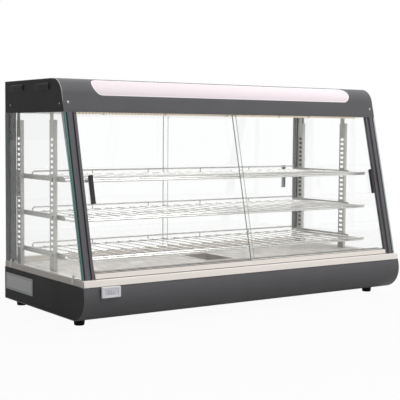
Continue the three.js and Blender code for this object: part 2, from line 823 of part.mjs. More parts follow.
function pull_solid() {
  const half = pull_height / 2;
  const waist = pull_stand - pull_waist;
  const body = along_x([
    [0, -half], [-pull_stand, -half + pull_waist], [-pull_stand, -half + pull_waist * 2],
    [-waist, -half + pull_flare], [-waist, half - pull_flare],
    [-pull_stand, half - pull_waist * 2], [-pull_stand, half - pull_waist], [0, half],
  ], -pull_width / 2, pull_width / 2);
  const scoop = solid_of(new THREE.CylinderGeometry(pull_scoop, pull_scoop, pull_height - pull_scoop_inset * 2,
    turn_steps).rotateX(Math.PI / 2).translate(pull_width / 2, -waist / 2, 0));
  return body.subtract(scoop);
}
const pull = pull_solid();
const mirrored_pull = pull_solid().mirror([1, 0, 0]);

const door_top = upper_roof - pane_lift;
const front_edge = post_inner - edge_gap;
const front_doors = [
  ['left', -1, front_backs[1], left_pull_inset, -front_edge, front_meet_x + front_overlap / 2],
  ['right', 1, front_backs[0], right_pull_inset, front_meet_x - front_overlap / 2, front_edge],
];
for (const [side, sign, back, pull_inset, x0, x1] of front_doors) {
  const low = up_the_lean(floor + seat_gap, back + pane_thickness);
  const high = up_the_lean(door_top, back);
  piece(`front_door_${side}`, block(x0, x1, back, back + pane_thickness, low, high), glass, {}, front_sash);
  piece(`front_pull_${side}`, sign < 0 ? pull : mirrored_pull, black_plastic,
    { x: sign * (post_inner - pull_inset), y: back - seat_gap, z: up_the_lean(ledge_top + pull_level, back) },
    front_sash);
}

// Rear pair: its pulls stand on the rear faces, so they are the front ones turned round.
const rear_edge = rear_leg_inner - edge_gap;
const rear_doors = [
  ['left', -1, rear_backs[1], rear_left_pull_inset, -rear_edge, rear_meet_x + rear_overlap / 2],
  ['right', 1, rear_backs[0], rear_right_pull_inset, rear_meet_x - rear_overlap / 2, rear_edge],
];
for (const [side, sign, y, pull_inset, x0, x1] of rear_doors) {
  piece(`rear_door_${side}`, block(x0, x1, y, y + pane_thickness, rear_floor + seat_gap, door_top), glass);
  piece(`rear_pull_${side}`, (sign < 0 ? pull : mirrored_pull).mirror([0, 1, 0]), grey_plastic,
    { x: sign * (rear_leg_inner - pull_inset), y: y + pane_thickness, z: ledge_top + pull_level });
}

// Slotted uprights: a channel pierced by a ladder of slots, with a narrower neck up to the hood.
const upright_low = deck_top;
const shoulder = glass_top - upright_shoulder;
const half_web = upright_web / 2;
const first_slot = deck_top + first_slot_rise;
const slot_holes = [];
for (let i = 0; i < slot_count; i += 1) {
  const z = first_slot + i * slot_pitch;
  slot_holes.push(rectangle(-slot_width / 2, slot_width / 2, z - slot_height / 2, z + slot_height / 2));
}
const upright = along_x([
  [-half_web, upright_low], [half_web, upright_low], [half_web, shoulder],
  [upright_neck / 2, shoulder], [upright_neck / 2, glass_top], [-upright_neck / 2, glass_top],
  [-upright_neck / 2, shoulder], [-half_web, shoulder],
], -upright_sheet / 2, upright_sheet / 2, slot_holes)
  .add(block(-upright_sheet / 2, upright_flange, -half_web, -half_web + upright_sheet, upright_low, shoulder))
  .add(block(-upright_sheet / 2, upright_flange, half_web - upright_sheet, half_web, upright_low, shoulder));
const upright_x = half_width - upright_inset_x;
const rear_upright_y = rear_face - upright_rear_inset;
const front_upright_y = front_face + upright_front_inset;
for (const [side, sign] of sides) {
  piece(`rear_upright_${side}`, upright, upright_steel, { x: sign * upright_x, y: rear_upright_y });
  piece(`front_upright_${side}`, upright, upright_steel, { x: sign * upright_x, y: front_upright_y });
}

// Brackets: a bar with an inward leg, and at each upright a hook through a slot. Heights are
// measured from the bar's top, at the height of which each copy is placed.
const bar_inner = half_width - bracket_inset_x - bracket_sheet * 2;
const bar_outer = bar_inner + bracket_sheet;
const web_outer = upright_x + upright_sheet / 2;
const bracket_rear = rear_upright_y + bracket_rear_run;
const bracket_front_y = front_upright_y - bracket_overhang;
const tab_low = -bracket_slot_drop - slot_height / 2 + seat_gap;
function bracket_solid(sign) {
  const bar = along_x([
    [bracket_front_y, -bracket_height], [bracket_rear, -bracket_height], [bracket_rear, 0],
    [bracket_front_y + bracket_nose, 0], [bracket_front_y, -bracket_nose],
  ], sign * bar_inner, sign * bar_outer);
  const leg = block(sign * (bar_inner - bracket_leg), sign * (bar_inner + bracket_sheet / 2),
    bracket_front_y + bracket_nose, bracket_rear - bracket_nose,
    -bracket_height, -bracket_height + bracket_leg_sheet);
  const hooks = [rear_upright_y, front_upright_y].map((y) => {
    const tab = block(sign * (bar_outer - bracket_sheet / 2), sign * (web_outer + seat_gap + hook_sheet),
      y - hook_width / 2, y + hook_width / 2, tab_low, tab_low + hook_height);
    const drop = block(sign * (web_outer + seat_gap), sign * (web_outer + seat_gap + hook_sheet),
      y - hook_width / 2, y + hook_width / 2, tab_low - hook_drop, tab_low + hook_height);
    return tab.add(drop);
  });
  return joined([bar, leg, ...hooks]);
}
const tier_names = ['lower', 'middle', 'upper'];
const tier_top = (k) => first_slot + bracket_slot_drop + k * shelf_slot_steps * slot_pitch;
for (const [side, sign] of sides) {
  const bracket = bracket_solid(sign);
  for (let k = 0; k < shelf_count; k += 1) {
    piece(`bracket_${tier_names[k]}_${side}`, bracket, upright_steel, { z: tier_top(k) });
  }
}

// Wire shelf: a frame wire that rests on the bracket legs and widens past the bars, a double
// front edge, a middle rail and a raised guard along the rear. The wires from front to back
// are welded to the upper front wire and to the rear of the frame, and clear what they cross.
const frame_z = -bracket_height + bracket_leg_sheet + seat_gap + shelf_frame_wire / 2;
const shelf_side = bar_inner - shelf_edge_gap - shelf_frame_wire / 2;
const tip_x = half_width - shelf_tip_inset;
const shelf_front_y = front_face + shelf_front_inset;
const shelf_rear_y = rear_face - shelf_rear_inset;
const shelf_mid_y = THREE.MathUtils.lerp(shelf_front_y, shelf_rear_y, shelf_mid_share);
const deck_rear_z = frame_z + (shelf_frame_wire + shelf_deck_wire) / 2 - shelf_weld;
const deck_front_z = frame_z + (shelf_frame_wire + shelf_deck_wire) / 2 + seat_gap;
const shoulder_y = bracket_front_y - shelf_frame_wire / 2 - edge_gap;
function shelf_corner_points(sign) {
  const rear = arc(shelf_side - shelf_corner, shelf_rear_y - shelf_corner, shelf_corner, 90, 0, corner_steps);
  const front = arc(tip_x - shelf_corner, shelf_front_y + shelf_corner, shelf_corner, 0, -90, corner_steps);
  return [...rear, [shelf_side, shoulder_y], [tip_x, shoulder_y - shelf_shoulder], ...front]
    .map(([x, y]) => [sign * x, y, frame_z]);
}
const half_frame = (sign) => rod([
  [-sign * shelf_weld, shelf_rear_y, frame_z], ...shelf_corner_points(sign),
  [-sign * shelf_weld, shelf_front_y, frame_z],
], shelf_frame_wire);
const front_rail_z = frame_z + shelf_front_rise;
const guard_z = frame_z + shelf_guard_rise;
const rail_x = shelf_side - shelf_corner;
const across = (y, z, x, d) => rod([[-x, y, z], [x, y, z]], d);
const mid_z = THREE.MathUtils.lerp(deck_front_z, deck_rear_z, shelf_mid_share)
  - (shelf_deck_wire + shelf_rail_wire) / 2 - seat_gap / 2;
const shelf_parts = [
  half_frame(1), half_frame(-1),
  across(shelf_front_y, front_rail_z, tip_x - shelf_corner / 2, shelf_rail_wire),
  across(shelf_mid_y, mid_z, shelf_side, shelf_rail_wire),
  across(shelf_rear_y, guard_z, rail_x, shelf_rail_wire),
];
const deck_pitch = rail_x * 2 / (shelf_deck_count - 1);
for (let i = 0; i < shelf_deck_count; i += 1) {
  const x = -rail_x + i * deck_pitch;
  shelf_parts.push(rod([[x, shelf_front_y, deck_front_z], [x, shelf_rear_y, deck_rear_z]],
    shelf_deck_wire, thin_wire_sides));
}
const guard_pitch = rail_x * 2 / (shelf_guard_posts - 1);
for (let i = 0; i < shelf_guard_posts; i += 1) {
  const x = (-rail_x + i * guard_pitch) * (1 - shelf_deck_wire / rail_x);
  shelf_parts.push(rod([[x, shelf_rear_y, frame_z], [x, shelf_rear_y, guard_z]],
    shelf_deck_wire, thin_wire_sides));
}
const shelf = joined(shelf_parts);
for (let k = 0; k < shelf_count; k += 1) {
  piece(`shelf_${tier_names[k]}`, shelf, bright_wire, { z: tier_top(k) });
}

// Hood: a folded cap with a rounded front top edge, closed at both ends.
const hood_half = half_width - hood_inset;
const nose_z = hood_top - hood_nose_radius;
const nose_y = front_y(nose_z, hood_nose_radius);
function hood_outline(offset, foot) {
  return [
    [rear_face - offset, foot], [rear_face - offset, hood_top - offset],
    ...arc(nose_y, nose_z, hood_nose_radius - offset, 90, 180 - front_lean_deg, nose_steps),
    [front_y(foot, offset), foot],
  ];
}
const hood_prism = (offset, foot, half) => along_x(hood_outline(offset, foot), -half, half);

// The window is cut square to the middle of the rounded edge, with half-round ends.
const window_half_length = half_width - window_end_inset;
const window_low = nose_z + window_rise;
const window_low_y = front_y(window_low);
const window_turn = Math.PI / 4 + lean / 2;
function window_prism(grow, depth) {
  const height = window_height + grow * 2;
  const length = window_half_length * 2 + grow * 2;
  const outline = round_rectangle(0, window_height / 2, length, height, height / 2 - seat_gap, corner_steps);
  const frame = new THREE.Matrix4().makeRotationX(Math.PI / 2 - window_turn);
  const geometry = extruded(outline, depth * 2).translate(0, 0, -depth).applyMatrix4(frame);
  return solid_of(geometry.translate(0, window_low_y, window_low));
}
const window_reach = hood_nose_radius / 2;
const louvre_z = hood_top - louvre_drop - louvre_height / 2;
function louvre_solid(sign, y, inset, x0, x1, front_run) {
  const a = louvre_length / 2 - inset;
  const b = louvre_height / 2 - inset;
  const outline = [
    [y - a - front_run, louvre_z - b], [y + a / 2, louvre_z - b], [y + a, louvre_z],
    [y + a - b, louvre_z + b], [y - a + b / 2, louvre_z + b], [y - a - front_run, louvre_z],
  ];
  return along_x(outline, sign * x0, sign * x1);
}
let hood = hood_prism(0, glass_top, hood_half)
  .subtract(hood_prism(hood_sheet, glass_top - cut_over, hood_half - hood_sheet));
hood = hood.subtract(window_prism(0, window_reach));
for (const [, sign] of sides) {
  for (const k of [0, 1]) {
    const y = rear_face - louvre_rear_inset - louvre_length / 2 - k * louvre_pitch;
    hood = hood.add(louvre_solid(sign, y, 0, hood_half - hood_sheet / 2, hood_half + louvre_stand, 0))
      .subtract(louvre_solid(sign, y, louvre_sheet, hood_half - hood_sheet - cut_over,
        hood_half + louvre_stand - louvre_sheet, louvre_sheet * 2));
  }
}
piece('hood_shell', hood, charcoal);

// Light window: a curved diffuser standing in the cut-out, with a flange behind the sheet.
const flange_outer = hood_sheet + seat_gap;
const flange_inner = flange_outer + window_thickness;
const shell_between = (a, b) => hood_prism(a, glass_top, hood_half).subtract(hood_prism(b, glass_top, hood_half));
piece('light_window',
  shell_between(flange_outer, flange_inner).intersect(window_prism(window_flange, window_reach))
    .add(shell_between(window_recess, flange_inner).intersect(window_prism(-window_groove, window_reach))),
  diffuser);

// Ceiling liner, notched for both door tracks, with the two lamp holders.
const ceiling_half = hood_half - hood_sheet - seat_gap;
const ceiling_top = glass_top + ceiling_sheet;
const notch_half = track_half + edge_gap;
const ceiling_front = front_y(ceiling_top, hood_sheet) + seat_gap;
const ceiling_notch = front_y(ceiling_top, front_track_tail) + seat_gap;
const ceiling_rear = rear_inner - seat_gap;
const rear_notch_half = rear_track_half + edge_gap;
const rear_notch = rear_backs[0] - groove_clear - rear_track_sheet - seat_gap;
const ceiling_outline = [
  [-ceiling_half, ceiling_front], [-notch_half, ceiling_front], [-notch_half, ceiling_notch],
  [notch_half, ceiling_notch], [notch_half, ceiling_front], [ceiling_half, ceiling_front],
  [ceiling_half, ceiling_rear], [rear_notch_half, ceiling_rear], [rear_notch_half, rear_notch],
  [-rear_notch_half, rear_notch], [-rear_notch_half, ceiling_rear], [-ceiling_half, ceiling_rear],
];
const lamp_half_length = half_width - lamp_end_inset;
const holders = sides.map(([, sign]) => block(
  sign * (lamp_half_length + seat_gap), sign * (lamp_half_length + seat_gap + lamp_holder_sheet),
  nose_y - lamp_holder_width / 2, nose_y + lamp_holder_width / 2,
  ceiling_top - ceiling_sheet / 2, nose_z + lamp_holder_rise));
piece('hood_ceiling', joined([along_z(ceiling_outline, glass_top, ceiling_top), ...holders]), liner_white);
piece('lamp_tube', rod([[-lamp_half_length, nose_y, nose_z], [lamp_half_length, nose_y, nose_z]],
  lamp_diameter, turn_steps), diffuser);

// Light strip under the ceiling behind the front doors, with its small spring clips.
const strip_y = ceiling_notch + strip_set_back + strip_width / 2;
const strip_z = glass_top - seat_gap;
const strip_half_length = half_width - strip_end_inset;
function strip_bar(half, grow, x0, x1) {
  const a = strip_width / 2 + grow;
  const low = strip_z - strip_depth - grow;
  return along_x([
    [strip_y - a, strip_z], [strip_y - a, low + strip_chamfer], [strip_y - a + strip_chamfer, low],
    [strip_y + a - strip_chamfer, low], [strip_y + a, low + strip_chamfer], [strip_y + a, strip_z],
  ], x0, x1);
}
const strip_clip_shares = [-0.82, -0.43, -0.01, 0.38, 0.61];
const strip_clips = strip_clip_shares.map((share) => {
  const x = share * strip_half_length;
  return strip_bar(strip_clip_width, strip_clip_grow, x - strip_clip_width / 2, x + strip_clip_width / 2);
});
piece('led_strip', joined([strip_bar(strip_half_length, 0, -strip_half_length, strip_half_length), ...strip_clips]),
  white_plastic);

// Thermometer: a framed case through the front panel with a recessed screen.
const thermometer_face = front_face - thermometer_stand;
const bezel = along_y(round_rectangle(thermometer_x, thermometer_z, thermometer_width, thermometer_height,
  thermometer_corner), thermometer_face, front_face - seat_gap);
const screen_pocket = (clear, y0, y1) => block(
  thermometer_x - thermometer_width / 2 + thermometer_rim - clear,
  thermometer_x + thermometer_width / 2 - thermometer_rim + clear, y0, y1,
  thermometer_z - thermometer_height / 2 + thermometer_rim_top - clear,
  thermometer_z + thermometer_height / 2 - thermometer_rim_top + clear);
piece('thermometer_case',
  bezel.add(thermometer_block(thermometer_body_inset, front_face - seat_gap * 2, front_face + thermometer_body))
    .subtract(screen_pocket(0, thermometer_face - cut_over, thermometer_face + thermometer_pocket)),
  white_plastic);
piece('thermometer_screen',
  screen_pocket(-seat_gap, thermometer_face + thermometer_pocket - seat_gap - screen_thickness,
    thermometer_face + thermometer_pocket - seat_gap), lcd);

// Thermostat: a body behind the rear panel, its bush and shaft through it, and the knob outside.
const inside_rear = rear_inner - seat_gap;
const knob_face = rear_face + knob_stand;
piece('thermostat_body', joined([
  block(-thermostat_size / 2, thermostat_size / 2, -thermostat_depth, 0, -thermostat_size / 2, thermostat_size / 2),
  turned_back([[0, -base_sheet], [thermostat_bush, -base_sheet], [thermostat_bush, base_sheet + seat_gap * 2],
    [shaft_radius, base_sheet + seat_gap * 2], [shaft_radius, shaft_length], [0, shaft_length]]),
]), galvanised, { x: thermostat_x, y: inside_rear, z: control_z });

const knob_back = rear_face + seat_gap * 3;
const knob_length = knob_face - knob_back;
const hub_depth = inside_rear + shaft_length + seat_gap - knob_back;
const knob_body = turned_back([
  [shaft_radius + seat_gap, 0], [knob_skirt_radius, 0], [knob_skirt_radius, knob_skirt],
  [knob_radius, knob_skirt + knob_dome], [knob_radius - knob_dome, knob_length - knob_pointer],
  [0, knob_length - knob_pointer], [0, hub_depth], [shaft_radius + seat_gap, hub_depth],
  [shaft_radius + seat_gap, 0],
]);
const knob_grip = block(-knob_pointer / 2, knob_pointer / 2,
  knob_length - knob_pointer - knob_dome, knob_length, -knob_radius + knob_dome, knob_radius - knob_dome);
piece('thermostat_knob', knob_body.add(knob_grip), black_plastic, { x: thermostat_x, y: knob_back, z: control_z });

// Rocker switches: a snap-in body with a bezel, and a rocker that tilts about a level axis.
const cavity_x = switch_width / 2 - switch_rim - switch_wall;
const cavity_z = switch_height / 2 - switch_rim - switch_wall;
const switch_front = rear_face + seat_gap + switch_bezel;
const switch_body = block(-switch_width / 2, switch_width / 2, rear_face + seat_gap, switch_front,
  -switch_height / 2, switch_height / 2)
  .add(block(-switch_width / 2 + switch_rim, switch_width / 2 - switch_rim,
    rear_face - switch_depth, rear_face + seat_gap + switch_bezel / 2,
    -switch_height / 2 + switch_rim, switch_height / 2 - switch_rim))
  .subtract(block(-cavity_x, cavity_x, switch_front - switch_cavity, switch_front + cut_over, -cavity_z, cavity_z));
const rocker_half = cavity_z - rocker_end_clear;
const rocker = along_x([
  [-rocker_depth + rocker_rise, -rocker_half / 2], [0, -rocker_half], [rocker_rise, -rocker_half],
  [rocker_rise - rocker_notch, 0], [rocker_rise, rocker_half], [0, rocker_half],
  [-rocker_depth + rocker_rise, rocker_half / 2],
], -cavity_x + seat_gap, cavity_x - seat_gap);
const rocker_tilt = THREE.MathUtils.degToRad(rocker_tilt_deg);
for (const [name, x] of [['light', light_switch_x], ['heat', heat_switch_x]]) {
  piece(`${name}_switch_body`, switch_body, black_plastic, { x, z: control_z });
  piece(`${name}_switch_rocker`, rocker, black_plastic,
    { x, y: switch_front - rocker_rise / 2, z: control_z, tilt: rocker_tilt });
}

// Pilot lamp and cable gland in the rear panel, terminal block on the pan.
piece('pilot_lamp', turned_back([
  [0, -pilot_depth], [pilot_body_radius, -pilot_depth], [pilot_body_radius, seat_gap],
  [pilot_radius, seat_gap], [pilot_radius, pilot_bezel], [pilot_body_radius, pilot_bezel + seat_gap],
  [pilot_body_radius / 2, pilot_stand], [0, pilot_stand],
]), amber_lens, { x: pilot_x, y: rear_face, z: control_z });
piece('cable_gland', turned_back([
  [gland_bore_radius, -gland_inside], [gland_thread_radius, -gland_inside], [gland_thread_radius, seat_gap],
  [gland_nut_radius, seat_gap], [gland_nut_radius, gland_nut], [gland_neck_radius, gland_nut],
  [gland_tip_radius, gland_stand], [gland_bore_radius, gland_stand], [gland_bore_radius, -gland_inside],
], turn_steps * 3 / 5), black_plastic, { x: gland_x, y: rear_face, z: gland_z });
const terminal_ribs = [];
for (let i = 0; i <= terminal_ways; i += 1) {
  const x = (i / terminal_ways - 1 / 2) * (terminal_length - terminal_rib);
  terminal_ribs.push(block(x - terminal_rib / 2, x + terminal_rib / 2, -terminal_width / 2, terminal_width / 2,
    0, terminal_height));
}
piece('terminal_block', joined([
  block(-terminal_length / 2, terminal_length / 2, -terminal_width / 2, terminal_width / 2, 0, terminal_height / 2),
  ...terminal_ribs,
]), white_plastic, { x: -half_width + terminal_inset_x, y: rear_face - terminal_rear_inset, z: pan_top });

export default display_case;
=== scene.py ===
"""Heated display case: its visible surfaces, worked out in millimetres round the packed frame."""

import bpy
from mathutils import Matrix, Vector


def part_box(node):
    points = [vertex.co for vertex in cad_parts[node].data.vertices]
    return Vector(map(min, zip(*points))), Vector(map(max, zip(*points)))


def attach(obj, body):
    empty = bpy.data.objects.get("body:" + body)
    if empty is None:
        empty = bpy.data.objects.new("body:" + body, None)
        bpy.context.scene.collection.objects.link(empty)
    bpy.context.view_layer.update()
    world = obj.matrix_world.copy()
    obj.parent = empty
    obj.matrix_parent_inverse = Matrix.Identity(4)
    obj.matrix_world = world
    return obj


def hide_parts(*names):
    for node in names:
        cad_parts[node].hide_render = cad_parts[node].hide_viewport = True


bl_info = {
    "name": "Heated display case",
    "version": (1, 0, 0),
    "blender": (4, 5, 0),
    "location": "3D View > Sidebar > Display Case",
    "description": "Builds the surfaces, finishes and studio of a heated counter display case",
    "category": "Add Mesh",
}

import math

import bmesh
import bpy
import numpy as np
from mathutils.geometry import tessellate_polygon

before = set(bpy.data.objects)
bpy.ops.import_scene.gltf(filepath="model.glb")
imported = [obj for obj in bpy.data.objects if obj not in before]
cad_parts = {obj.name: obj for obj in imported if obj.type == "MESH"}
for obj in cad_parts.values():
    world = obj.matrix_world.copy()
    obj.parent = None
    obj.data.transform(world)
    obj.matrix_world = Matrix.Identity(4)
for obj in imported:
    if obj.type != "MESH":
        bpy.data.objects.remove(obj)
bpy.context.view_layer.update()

MM = 0.001


def reach(name):
    """Lowest and highest corners of a packed node, in millimetres."""
    low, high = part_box(name)
    return np.array(low) / MM, np.array(high) / MM


def middle(name):
    """Centre of a packed node, in millimetres."""
    return sum(reach(name)) / 2


PANEL_LOW, PANEL_HIGH = reach("base_front_panel")
POST_LOW, POST_HIGH = reach("rear_post_right")
HALF = PANEL_HIGH[0]
FRONT = PANEL_LOW[1]
REAR = reach("base_rear_panel")[1][1]
BASE_LOW, BASE_TOP = PANEL_LOW[2], PANEL_HIGH[2]
SILL, HEAD = POST_LOW[2], POST_HIGH[2]
HOOD_TOP = reach("hood_shell")[1][2]
HOOD_HALF = HALF - 3.5
LEAN = math.radians(13.3)
SETBACK = 19.3
LEDGE_STAND = 11.7
TOE, BROW = 67.0, 90.0
FRONT_RETURN, LIP = FRONT + 127, 22.0
NOSE, NOSE_STEPS = 55.0, 160
WINDOW_RADIUS, WINDOW_RISE, WINDOW_INSET = 29.25, 7.0, 105.0
LOUVRE_LONG, LOUVRE_HIGH, LOUVRE_PITCH = 104.0, 21.0, 175.0
POST_INNER = 556.0
POST_EDGE = POST_INNER + 31
OPEN_HALF = HALF - 20
OPEN_FRONT = FRONT + SETBACK - LEDGE_STAND + 55
OPEN_REAR = REAR - 27.5
SHEET = 1.5
PANE = 5.0
FRONT_BACKS = (8.0, 26.0)
REAR_BACKS = (REAR - 25, REAR - 7)
TRACK_FLOOR, TRACK_LAND = SILL + 2, SILL + 16
UPPER_LAND, UPPER_ROOF = HEAD + 2, HEAD + 16
DOOR_TOP = HEAD + 13
PULL_HALF, PULL_LEVEL = 41.0, 381.5
REAR_POST_WIDE, REAR_POST_DEEP, REAR_POST_STEP = 21.5, 27.0, 13.5
SLOT_PITCH, SLOT_COUNT = 16.0, 22
DECK_WIRES, MIDDLE_SHARE = 25, 0.51
TIERS = ("lower", "middle", "upper")
SIDES = (("left", -1), ("right", 1))


def front(level, behind=0.0):
    """Y of the leaning front at a level: the foot plus rise times the tangent of the lean."""
    return FRONT + SETBACK + (level - SILL) * math.tan(LEAN) + behind / math.cos(LEAN)


class CaseShape(bpy.types.PropertyGroup):
    """Sizes that can change without moving a piece."""

    rim: bpy.props.FloatProperty(
        name="Rim rounding", description="Radius of sheet and moulding rims, in millimetres",
        default=0.4, min=0.1, max=1.0)
    bend: bpy.props.FloatProperty(
        name="Bend radius", description="Inside radius of folded sheet, in millimetres",
        default=0.5, min=0.2, max=2.0)
    nose_steps: bpy.props.IntProperty(
        name="Nose steps", description="Facets round each rounded nose", default=28, min=8, max=64)
    wire_sides: bpy.props.IntProperty(
        name="Wire sides", description="Facets round each shelf wire", default=10, min=6, max=24)
    led_count: bpy.props.IntProperty(
        name="Light points", description="Small lamps along the light strip", default=99, min=10, max=160)
    louvre_rise: bpy.props.FloatProperty(
        name="Louvre rise", description="How far a louvre stands out, in millimetres",
        default=3.0, min=1.0, max=3.1)


def shade(name, description, value):
    """A colour property with its default."""
    return bpy.props.FloatVectorProperty(name=name, description=description, subtype="COLOR",
                                         size=3, min=0, max=1, default=value)


class CaseColours(bpy.types.PropertyGroup):
    """Main colours of the case, linear red, green and blue."""

    coat: shade("Coat", "Charcoal coat of the hood and base front", (0.098, 0.098, 0.104))
    # Painted shade: the sides take a darker copy of the charcoal coat, for faces turned away from the light.
    side_coat: shade("Side coat", "Near-black coat of the base sides", (0.034, 0.034, 0.033))
    steel: shade("Steel", "Brushed ledge, deck and tracks", (0.95, 0.89, 0.835))
    upright: shade("Upright", "Satin steel of uprights and brackets", (0.42, 0.41, 0.385))
    post: shade("Post", "Satin metal of the posts", (0.155, 0.148, 0.162))
    glass_edge: shade("Glass edge", "Green rim of the side panes", (0.055, 0.235, 0.205))
    window: shade("Window", "Milky cover of the hood lamp", (0.795, 0.705, 0.735))


# Shapes as arrays


def unit(v):
    """Each vector over its own length."""
    return v / np.linalg.norm(v, axis=-1, keepdims=True)


def offset_path(path, distance, closed=False):
    """Moves a path to its right, along the sum of the two edge normals, over one plus their product."""
    path = np.asarray(path, float)
    edge = unit(np.roll(path, -1, 0) - path)
    after = np.stack([edge[:, 1], -edge[:, 0]], 1)
    if not closed:
        after[-1] = after[-2]
    before = np.roll(after, 1, 0)
    if not closed:
        before[0] = after[0]
    return path + (after + before) * (distance / (1 + (after * before).sum(1)))[:, None]


def ccw(outline):
    """The outline turned so that its shoelace area is positive."""
    outline = np.asarray(outline, float)
    following = np.roll(outline, -1, 0)
    area = (outline[:, 0] * following[:, 1] - outline[:, 1] * following[:, 0]).sum()
    return outline if area > 0 else outline[::-1].copy()


def fillet(path, radius, steps=4, closed=True):
    """Each corner becomes an arc that touches both edges: its start radius turns evenly into its end."""
    path = np.asarray(path, float)
    count = len(path)
    radius = np.broadcast_to(np.asarray(radius, float), count).copy()
    back, ahead = unit(np.roll(path, 1, 0) - path), unit(np.roll(path, -1, 0) - path)
    half = np.arccos(np.clip((back * ahead).sum(1), -1, 1)) / 2
    if not closed:
        radius[[0, -1]] = 0
    soft = (radius > 0) & (half < math.pi / 2 - 1e-4)
    half = np.where(soft, half, math.pi / 4)
    bisector = np.where(soft[:, None], unit(back + ahead + 1e-12), back)
    centre = path + bisector * (radius / np.sin(half))[:, None]
    run = (radius / np.tan(half))[:, None]
    start, end = path + back * run - centre, path + ahead * run - centre
    turn = (math.pi - 2 * half)[:, None, None]
    t = np.linspace(0, 1, steps + 1)[None, :, None]
    spoke = np.sin((1 - t) * turn) * start[:, None] + np.sin(t * turn) * end[:, None]
    arcs = centre[:, None] + spoke / np.sin(turn)
    arcs = np.where(soft[:, None, None], arcs, path[:, None])
    keep = np.ones((count, steps + 1), bool)
    keep[~soft, 1:] = False
    return arcs[keep]


def box_outline(a0, a1, b0, b1, radius=0.0, steps=4):
    """A rectangle with quarter-circle corners."""
    corners = [[a0, b0], [a1, b0], [a1, b1], [a0, b1]]
    return fillet(corners, radius, steps) if radius else np.array(corners, float)


def arc(a, b, radius, start, end, steps):
    """Points of a circle between two angles in degrees."""
    turn = np.radians(np.linspace(start, end, steps + 1))
    return np.stack([a + radius * np.cos(turn), b + radius * np.sin(turn)], 1)


def folded(path, thickness, bend):
    """Outline of bent sheet: its middle line with rounded bends, moved half the thickness to either side."""
    line = fillet(offset_path(path, thickness / 2), bend + abs(thickness) / 2, 3, False)
    return np.concatenate([offset_path(line, -thickness / 2), offset_path(line, thickness / 2)[::-1]])


def grid_faces(rows, columns, loop_rows=False, loop_columns=False):
    """Quads between the neighbours of a rows by columns grid of points."""
    i = np.arange(rows if loop_rows else rows - 1)[:, None]
    j = np.arange(columns if loop_columns else columns - 1)[None, :]
    i2, j2 = (i + 1) % rows, (j + 1) % columns
    quads = [i * columns + j, i * columns + j2, i2 * columns + j2, i2 * columns + j]
    return np.stack(quads, -1).reshape(-1, 4)


def lifted(flat, level):
    """Flat points with their level as a third number."""
    return np.concatenate([flat, np.broadcast_to(level, flat.shape[:-1] + (1,))], -1)


def at_x(x, path):
    """A path of depth and height, all at one X."""
    return np.column_stack([np.full(len(path), x), path])


def span(sign, first, second):
    """Two places on one side of the case, lowest first."""
    return sorted((sign * first, sign * second))


class Form:
    """Gathers the grids of one piece: points, faces, finish numbers and rim wear."""

    def __init__(self):
        self.points, self.faces, self.finish, self.wear, self.total = [], [], [], [], 0

    def add(self, points, faces, finish=0, wear=0.0):
        points = np.asarray(points, float).reshape(-1, 3)
        self.faces += (np.asarray(faces) + self.total).tolist()
        self.finish += np.broadcast_to(finish, len(faces)).tolist()
        self.points.append(points)
        self.wear.append(np.broadcast_to(np.asarray(wear, float), len(points)))
        self.total += len(points)

    def cap(self, numbers, finish):
        self.faces.append(np.asarray(numbers).tolist())
        self.finish.append(finish)


def loft(form, loops, loop=False, finish=0, cap_finish=None, wear=0.0):
    """Joins rings of equal counts with quads and closes the first and last flat, unless the rows loop."""
    rows, count = loops.shape[:2]
    start = form.total
    wear = np.repeat(np.broadcast_to(wear, rows), count)
    form.add(loops, grid_faces(rows, count, loop, True), finish, wear)
    if not loop:
        cap_finish = finish if cap_finish is None else cap_finish
        form.cap(start + np.arange(count)[::-1], cap_finish)
        form.cap(start + (rows - 1) * count + np.arange(count), cap_finish)
    return form


def rings(levels, steps=4, side_steps=0):
    """Rounded rectangles, one for each level of x0, x1, y0, y1, z and radius, with steps on the sides."""
    x0, x1, y0, y1, z, r = (v[:, None, None] for v in np.asarray(levels, float).T)
    turn = np.linspace(0, math.pi / 2, steps + 1)[None, :] + np.arange(4)[:, None] * math.pi / 2
    right = np.array([1, 0, 0, 1])[None, :, None] == 1
    upper = np.array([1, 1, 0, 0])[None, :, None] == 1
    x = np.where(right, x1 - r, x0 + r) + r * np.cos(turn)
    y = np.where(upper, y1 - r, y0 + r) + r * np.sin(turn)
    flat = np.stack([x, y], -1)
    if side_steps:
        t = np.linspace(0, 1, side_steps + 2)[None, None, 1:-1, None]
        side = flat[:, :, -1:] * (1 - t) + np.roll(flat[:, :, :1], -1, 1) * t
        flat = np.concatenate([flat, side], 2)
    return lifted(flat.reshape(len(flat), -1, 2), z)


def nested(centre, sizes):
    """Levels for rings about a centre, from rows of half width, half depth, level and radius."""
    wide, deep, level, radius = np.asarray(sizes, float).T
    x, y = centre[:2]
    return np.stack([x - wide, x + wide, y - deep, y + deep, level, radius], 1)


ORDER = {"x": [2, 0, 1], "y": [0, 2, 1], "z": [0, 1, 2]}
RIM_STRIP = 2.0


